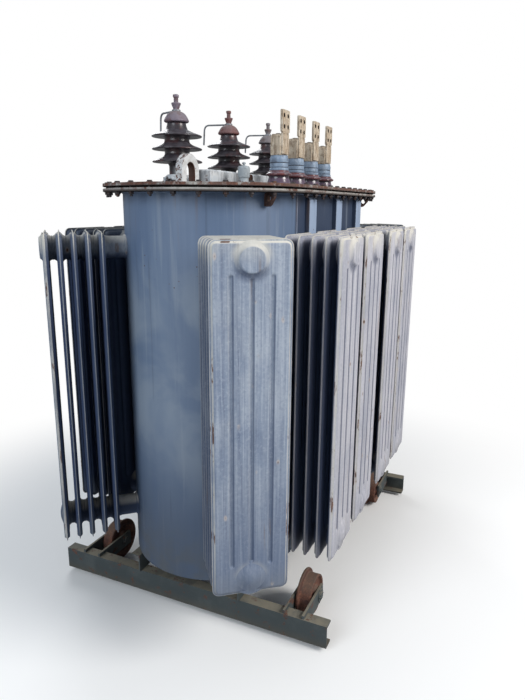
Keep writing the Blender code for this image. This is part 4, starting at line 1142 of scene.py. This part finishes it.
def build_hv_bushings():
    """Three bushings, each with a clamp, porcelain, cap and horn."""
    for number, turn, paint in zip((1, 2, 3), HORN_TURNS, CAP_PAINTS):
        foot = on_lid(f"hv_insulator_{number}")
        build_hv_clamp(number, foot)
        body = Surface()
        body.turned(hv_outline(), foot, 64)
        body.piece(f"hv_porcelain_{number}", HV_GLAZE, "hv_glaze", replaces=(f"hv_insulator_{number}",))
        build_hv_cap(number, foot, paint)
        build_hv_horn(number, foot, turn)


# The low-voltage bushings


def holed_blade(surface, width, low, high, thick, hole, place):
    """An upright blade with four holes.

    Each quarter is a ring of 32 directions between a hole, whose points are centre
    plus hole times (cos, sin), and the quarter's own edge, where the same
    directions are divided by the larger of their two parts.
    """
    turns = np.linspace(0, 2 * math.pi, 33)[:-1] + math.pi / 4
    round_way = np.stack([np.cos(turns), np.sin(turns)], -1)
    square_way = round_way / np.abs(round_way).max(1)[:, None]
    half = np.array([width / 4, (high - low) / 4])
    ahead = np.roll(np.arange(32), -1)
    points, quads = [], []
    for across in (-1, 1):
        for rise in (-1, 1):
            centre = half * (across, rise)
            inner, outer = centre + hole * round_way, centre + half * square_way
            corner = np.abs(outer).sum(1) > half.sum() * 2 - 0.0005
            outer = np.where(corner[:, None], outer * 0.96, outer)
            ring = np.arange(32) + len(points) * 128
            for near, far in ((0, 32), (32, 96), (96, 64), (64, 0)):
                strip = np.stack([ring + near, ring[ahead] + near, ring[ahead] + far, ring + far], -1)
                if (near, far) == (32, 96):
                    rim = np.abs(outer) > half * 2 - 0.0025
                    strip = strip[(rim & rim[ahead]).any(1)]
                quads.append(strip)
            flat = np.vstack([inner, outer, inner, outer])
            depth = np.repeat([-thick / 2, thick / 2], 64)
            points.append(np.stack([flat[:, 0], depth, flat[:, 1] + (low + high) / 2], -1))
    points, quads = np.vstack(points), np.vstack(quads)
    _, first, same = np.unique(np.round(points, 6), axis=0, return_index=True, return_inverse=True)
    in_hole = first // 32 % 2 == 0
    marks = np.stack([0.0 * in_hole, 1.0 * in_hole])
    surface.add(points[first], same.ravel()[quads], np.zeros((0, 3), int), marks, place)


def build_lv_collar(number, foot):
    """The ribbed collar, whose grooves are painted darker."""
    collar = Surface()
    ribs = rounded([(0.0370, 0.0640), (0.0405, 0.0650), (0.0405, 0.0740), (0.0375, 0.0755), (0.0375, 0.0775),
                    (0.0385, 0.0790), (0.0385, 0.0930), (0.0370, 0.0945), (0.0370, 0.0960), (0.0385, 0.0975),
                    (0.0390, 0.1120), (0.0375, 0.1150), (0.0355, 0.1245)], 0.0015)
    groove = (smooth_step(ribs[:, :1], 0.0383, 0.0373) * smooth_step(ribs[:, 1:], 0.0740, 0.0760)
              * smooth_step(ribs[:, 1:], 0.0980, 0.0960))
    collar.turned(ribs, foot, 48, hollow=groove)
    collar.piece(f"lv_collar_{number}", COLLAR_METAL, "terminal_metal", replaces=(f"lv_terminal_{number}",))


def build_lv_lug(number, foot):
    """Clamp block with its cap and front plate, the blade's foot, and the blade."""
    lug = Surface()
    lug.block((-0.0375, -0.022, 0.1243), (0.0375, 0.0250, 0.2030), 0.004, foot)
    lug.block((-0.0340, -0.018, 0.1960), (0.0020, 0.0215, 0.2085), 0.003, foot)
    lug.block((-0.0345, -0.0300, 0.1290), (0.0345, -0.0195, 0.2120), 0.002, foot)
    at = foot @ moved(0.0, BLADE_BACK, 0.0)
    lug.block((-0.0300, -0.005, 0.2080), (0.0300, 0.005, 0.2170), 0.001, at)
    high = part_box(f"lv_terminal_{number}")[1].z - LID_TOP - BLADE_PLAY
    holed_blade(lug, BLADE_WIDTH, high - BLADE_TALL, high, BLADE_THICK, BLADE_HOLE, at)
    lug.piece(f"lv_clamp_and_blade_{number}", TERMINAL_METAL, "terminal_metal",
              replaces=(f"lv_terminal_{number}",))


def build_lv_bushings():
    """Four bushings, each with a skirt and shed, a collar, a clamp with its blade, and a stud."""
    for number in range(1, 5):
        foot = on_lid(f"lv_insulator_{number}")
        skirt = Surface()
        skirt.soft_turned([(0.0575, 0.0), (0.0570, 0.004), (0.0500, 0.016), (0.0440, 0.032), (0.0425, 0.0405),
                           (0.0520, 0.0435), (0.0555, 0.0470), (0.0545, 0.0520), (0.0440, 0.0575),
                           (0.0420, 0.0640), (0.0400, 0.0645)], 0.003, foot, 48)
        skirt.piece(f"lv_porcelain_{number}", LV_GLAZE, "lv_glaze", replaces=(f"lv_insulator_{number}",))
        build_lv_collar(number, foot)
        build_lv_lug(number, foot)
        stud = Surface()
        at = foot @ moved(0.006, 0.008, 0.0)
        stud.turned([(0.0110, 0.200), (0.0110, 0.2125), (0.0098, 0.2140)], at, 20)
        stud.piece(f"lv_stud_{number}", DARK_RUST, "rusty_steel")


# The fittings on the lid and under the flange


def build_lifting_bow():
    """A bar bent into an arch: two legs and a half circle, on two weld collars. Its
    outer side is worn and its inner side is bare rust."""
    low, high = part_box("lid_lifting_bow")
    foot = on_lid("lid_lifting_bow")
    half, a = (high.x - low.x) / 2, BOW_BAR / 2
    reach, crown = half - a, high.z - LID_TOP - half
    turn = np.linspace(0, math.pi, 25)
    arch = np.stack([reach * np.cos(turn), 0.0 * turn, crown + reach * np.sin(turn)], -1)
    legs = np.array([(reach, 0.0, 0.0005), (reach, 0.0, crown / 2)])
    path = np.vstack([legs, arch, legs[::-1] * (-1, 1, 1)])
    section = rounded([(0.0, -a), (a, -a), (a, a), (-a, a), (-a, -a), (0.0, -a)], 0.004)[:-1]
    outer_side = smooth_step(-section[:, 0], a * 0.80, a * 0.98)[None, :]
    inner_side = smooth_step(section[:, 0], a * 0.80, a * 0.98)[None, :]
    bow = Surface()
    bow.grid(sweep_rows(path, section, (0.0, 1.0, 0.0)), mark=outer_side, hollow=inner_side, place=foot)
    for end in (-1, 1):
        at = foot @ moved(end * reach, 0.0, 0.0)
        bow.soft_turned([(0.026, 0.0), (0.024, 0.004), (0.016, 0.007)], 0.002, at, 24, 2,
                        mark=1.0, hollow=0.6)
    bow.piece("lifting_bow_round", BOW_PAINT, "fitting_paint", replaces=("lid_lifting_bow",))


def build_duct():
    """A long low box on a thin footplate."""
    low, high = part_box("lid_duct")
    duct = Surface()
    duct.block(low, high, 0.007)
    duct.block((low.x - 0.006, low.y - 0.006, low.z), (high.x + 0.006, high.y + 0.006, low.z + 0.005), 0.002)
    duct.piece("duct_round", FITTING_PAINT, "fitting_paint", replaces=("lid_duct",))


def build_vent():
    """A small vent: bolted foot, neck, body with a shoulder, and a knob."""
    vent, at = Surface(), on_lid("lid_vent")
    vent.soft_turned([(0.0265, 0.0), (0.0265, 0.007), (0.0190, 0.009), (0.0190, 0.030), (0.0240, 0.034),
                      (0.0255, 0.068), (0.0215, 0.077), (0.0080, 0.0800)], 0.003, at, 40)
    vent.soft_turned([(0.0045, 0.079), (0.0042, 0.084), (0.0080, 0.086), (0.0080, 0.091), (0.0030, 0.0937)],
                     0.0015, at, 20, 2)
    for spot in places_round(at, 6, 20.0, 0.0220):
        vent.turned(hexagon(0.0040, 0.006, 0.0105, 0.0006), spot, 6)
    vent.piece("vent_round", VENT_PAINT, "fitting_paint", replaces=("lid_vent",))


def build_pocket():
    """The thermometer pocket: washer, hexagon, threaded neck and rounded tip."""
    pocket, at = Surface(), on_lid("thermometer_pocket")
    pocket.turned([(0.0210, 0.0), (0.0210, 0.006), (0.0200, 0.007)], at, 32)
    pocket.turned(hexagon(0.0185, 0.006, 0.0250, 0.0018), at, 6)
    pocket.soft_turned([(0.0120, 0.024), (0.0120, 0.0420), (0.0100, 0.0490), (0.0040, 0.0508)],
                       0.001, at, 24, 2)
    pocket.thread(0.0118, 0.0130, (0.0, 0.0009, 0.0012, 0.0021), 0.0260, 0.0030, 5, at, 24)
    pocket.piece("pocket_round", RUSTY_STEEL, "rusty_steel", replaces=("thermometer_pocket",))


def build_eye(node, at):
    """A thick plate with a round hole, welded on along both of its faces.

    Rings run from the hole out to the plate's outline, which is convex: along a
    direction it lies at the least of d / (n . direction) over its sides, where n
    is a side's outward normal and d its distance from the hole's centre.
    """
    high, low, reach, half = TANK_HIGH, TANK_HIGH - EYE_TALL, EYE_REACH, EYE_HALF
    line = rounded([(reach, high - EYE_TALL * 0.4), (reach, high), (-0.002, high), (-0.002, low),
                    (reach * 0.5, low), (reach, high - EYE_TALL * 0.4)], 0.012, 5)[:-1]
    centre = np.array([reach * 0.5, high - EYE_TALL * 0.42])
    sides = np.roll(line, -1, 0) - line
    normals = np.stack([-sides[:, 1], sides[:, 0]], -1) / np.linalg.norm(sides, axis=1)[:, None]
    depth = ((line - centre) * normals).sum(1)
    normals, depth = normals * np.sign(depth)[:, None], np.abs(depth)
    rays = circle(1.0, 40)
    share = rays @ normals.T
    far = np.where(share > 1e-6, depth / np.maximum(share, 1e-6), np.inf).min(1)
    outline, hole = centre + rays * far[:, None], centre + EYE_HOLE * rays
    soft = centre + (outline - centre) * 0.94
    rows = [np.insert(ring, 1, y, axis=1) for ring, y in
            ((hole, -half), (soft, -half), (outline, -half + 0.0015), (outline, half - 0.0015), (soft, half),
             (hole, half))]
    eye = Surface()
    eye.grid(rows, closed=True, place=at)
    for y in (-half - 0.002, half - 0.003):
        eye.block((-0.002, y, low + 0.002), (0.0045, y + 0.005, high - 0.002), 0.002, at)
    eye.piece(f"{node}_round", DARK_RUST, "rusty_steel", replaces=(node,))


def build_eyes():
    """Four lifting eyes on the tank's round ends."""
    for end, end_word in ENDS:
        for side, word in SIDES:
            foot, angle = quarter_place(end, side, EYE_ANGLES[word])
            build_eye(f"lifting_eye_{end_word}_{word}", turning(angle, 'Z', foot))


# The base and the rollers


def soften(node, width):
    """Round a CAD node's edges with a live bevel."""
    bevel = frame["nodes"][node].modifiers.new("edges", 'BEVEL')
    bevel.width = width
    bevel.segments = 2
    bevel.limit_method = 'ANGLE'
    bevel.angle_limit = math.radians(35)


def build_base():
    """Beams, skids and the tank's floor keep their CAD shape, with softened edges."""
    for node, width in (("cross_beam_near", 0.0022), ("cross_beam_far", 0.0022), ("skid_right", 0.0018),
                        ("skid_left", 0.0018), ("tank_floor", 0.001)):
        soften(node, width)


def build_axle_ends():
    """Washer, axle end and split pin outside each cheek, and weld beads behind it."""
    hubs = Surface()
    for end, _ in ENDS:
        for _, word in SIDES:
            along, across = middle(f"roller_far_{word}")
            for cheek in (-1, 1):
                y = across + cheek * CHEEK
                at = moved(end * along, y, ROLLER_RADIUS) @ turning(-cheek * 90.0, 'X')
                hubs.turned([(0.029, 0.0), (0.029, 0.003), (0.0275, 0.0042)], at, 32)
                hubs.soft_turned([(0.0178, 0.003), (0.0178, 0.0075), (0.0150, 0.0090)], 0.001, at, 28, 2)
                pin = at @ moved(0.0, 0.0, 0.0055) @ turning(90.0, 'Y')
                hubs.turned([(0.0032, -0.022), (0.0032, 0.022)], pin, 10)
                for edge in (-1, 1):
                    bead = upright(end * (BEAM_INNER + WELD_PLACE), y + cheek * (edge * 0.0045 - 0.0045),
                                   WELD_LOW, WELD_HIGH, 12)
                    hubs.swept(bead, circle(WELD_BEAD, 8), (1.0, 0.0, 0.0))
    hubs.piece("axle_ends_and_welds", BASE_PAINT, "base_paint")


def build_rollers():
    """Rollers: hub, thin web, flat tread and a flange on the outer side."""
    line = rounded([(0.0184, -0.033), (0.034, -0.033), (0.036, -0.030), (0.040, -0.021), (0.046, -0.0195),
                    (0.064, -0.0195), (0.069, -0.022), (0.073, -0.029), (0.0765, -0.031), (0.0815, -0.031),
                    (0.0840, -0.0285), (0.0842, 0.012), (0.0865, 0.0155), (0.0930, 0.0175), (0.0980, 0.0195),
                    (0.1000, 0.0225), (0.1000, 0.0285), (0.0980, 0.031), (0.0780, 0.031), (0.0745, 0.029),
                    (0.069, 0.022), (0.064, 0.0195), (0.046, 0.0195), (0.040, 0.021), (0.036, 0.030),
                    (0.034, 0.0330), (0.0184, 0.0330)], 0.0015, 2)
    for _, end_word in ENDS:
        for side, word in SIDES:
            node = f"roller_{end_word}_{word}"
            at = moved(*middle(node), ROLLER_RADIUS) @ turning(side * 90.0, 'X')
            wheel = Surface()
            wheel.turned(line, at, 72, closed=True)
            wheel.piece(f"{node}_round", RUSTY_STEEL, "rusty_steel", body=f"{node}_body", replaces=(node,))


# The stage


def dress_nodes():
    """Give every CAD node the finish of its slot."""
    finishes = {"tank_paint": TANK_PAINT, "lid_paint": LID_PAINT, "gasket_rubber": RUBBER,
                "radiator_paint": RADIATOR_PAINT, "hv_glaze": HV_GLAZE, "lv_glaze": LV_GLAZE,
                "terminal_metal": TERMINAL_METAL, "cap_metal": CAP_PAINTS[0], "fitting_paint": FITTING_PAINT,
                "rusty_steel": RUSTY_STEEL, "base_paint": BASE_PAINT}
    for row in frame["record"]["subparts"]:
        node = frame["nodes"][row["node"]]
        if not node.material_slots:
            node.data.materials.append(finishes[row["material_slot"]])
        for place in node.material_slots:
            place.material = finishes[row["material_slot"]]


def floor_finish():
    """A matt pale floor that fades for the camera into the white backdrop round the object."""
    floor = Finish("pale_floor", FLOOR_LIT, 0.9, specular=0.0)
    seen = floor.node("LightPath").outputs["Is Camera Ray"]
    floor.layer(seen, FLOOR_SEEN)
    material = floor.done()
    away = floor.node("VectorMath", {0: floor.coords["Object"]}, operation='LENGTH').outputs["Value"]
    fade = floor.both(floor.step(away, FLOOR_FADE_START, FLOOR_FADE_END), seen)
    white = floor.node("Emission")
    mix = floor.node("MixShader", {"Fac": fade, 1: floor.shader.outputs[0], 2: white.outputs[0]})
    floor.tree.links.new(mix.outputs[0], floor.tree.nodes["Material Output"].inputs["Surface"])
    return material


def build_floor():
    """A pale floor under the rollers."""
    reach = FLOOR_REACH
    mesh = bpy.data.meshes.new("floor")
    mesh.from_pydata([(-reach, -reach, 0), (reach, -reach, 0), (reach, reach, 0), (-reach, reach, 0)], [],
                     [(0, 1, 2, 3)])
    mesh.materials.append(floor_finish())
    floor = bpy.data.objects.new("floor", mesh)
    bpy.context.scene.collection.objects.link(floor)


def build_world():
    """Dim even light on the object, and a white backdrop for the camera."""
    world = bpy.data.worlds.new("studio")
    bpy.context.scene.world = world
    world.use_nodes = True
    tree = world.node_tree
    light = tree.nodes["Background"]
    light.inputs["Color"].default_value = WORLD_COLOR
    light.inputs["Strength"].default_value = WORLD_STRENGTH
    white = add_node(tree, "Background", {"Color": WHITE})
    seen = add_node(tree, "LightPath").outputs["Is Camera Ray"]
    choose = add_node(tree, "MixShader", {"Fac": seen, 1: light.outputs[0], 2: white.outputs[0]})
    tree.links.new(choose.outputs[0], tree.nodes["World Output"].inputs["Surface"])


def build_lamps():
    """Soft round lamps from three sides, aimed at the object's middle."""
    for name, place, size, power, color in LAMPS:
        lamp = bpy.data.lights.new(name, 'AREA')
        lamp.shape = 'DISK'
        lamp.size = size
        lamp.energy = power
        lamp.color = color
        item = bpy.data.objects.new(name, lamp)
        item.location = place
        item.rotation_euler = (Vector(LAMP_AIM) - Vector(place)).to_track_quat('-Z', 'Y').to_euler()
        bpy.context.scene.collection.objects.link(item)


def build_camera():
    """The photograph's viewpoint, fitted to points measured in it."""
    yaw, pitch, roll = (math.radians(angle) for angle in CAMERA_ANGLES)
    forward = Vector((math.cos(yaw) * math.cos(pitch), math.sin(yaw) * math.cos(pitch), -math.sin(pitch)))
    right = Vector((math.sin(yaw), -math.cos(yaw), 0.0))
    up = right.cross(forward)
    across = right * math.cos(roll) + up * math.sin(roll)
    rise = -right * math.sin(roll) + up * math.cos(roll)
    data = bpy.data.cameras.new("photo_view")
    data.sensor_fit = 'VERTICAL'
    data.lens = PHOTO_FOCAL * data.sensor_height / PHOTO_HEIGHT
    camera = bpy.data.objects.new("photo_view", data)
    facing = Matrix((across, rise, -forward)).transposed().to_4x4()
    camera.matrix_world = Matrix.Translation(CAMERA_PLACE) @ facing
    bpy.context.scene.collection.objects.link(camera)
    bpy.context.scene.camera = camera


dress_nodes()
build_tank()
build_plate("flange_smooth", "tank_flange", True, 0.0, 0.0040, FLANGE_PAINT)
build_plate("lid_smooth", "lid", False, LID_WAVE, 0.0010, LID_PAINT)
build_gasket()
build_lid_bolts()
build_radiators()
build_hv_bushings()
build_lv_bushings()
build_lifting_bow()
build_duct()
build_vent()
build_pocket()
build_eyes()
build_base()
build_axle_ends()
build_rollers()
build_floor()
build_world()
build_lamps()
build_camera()
bpy.context.scene.view_settings.view_transform = 'Standard'
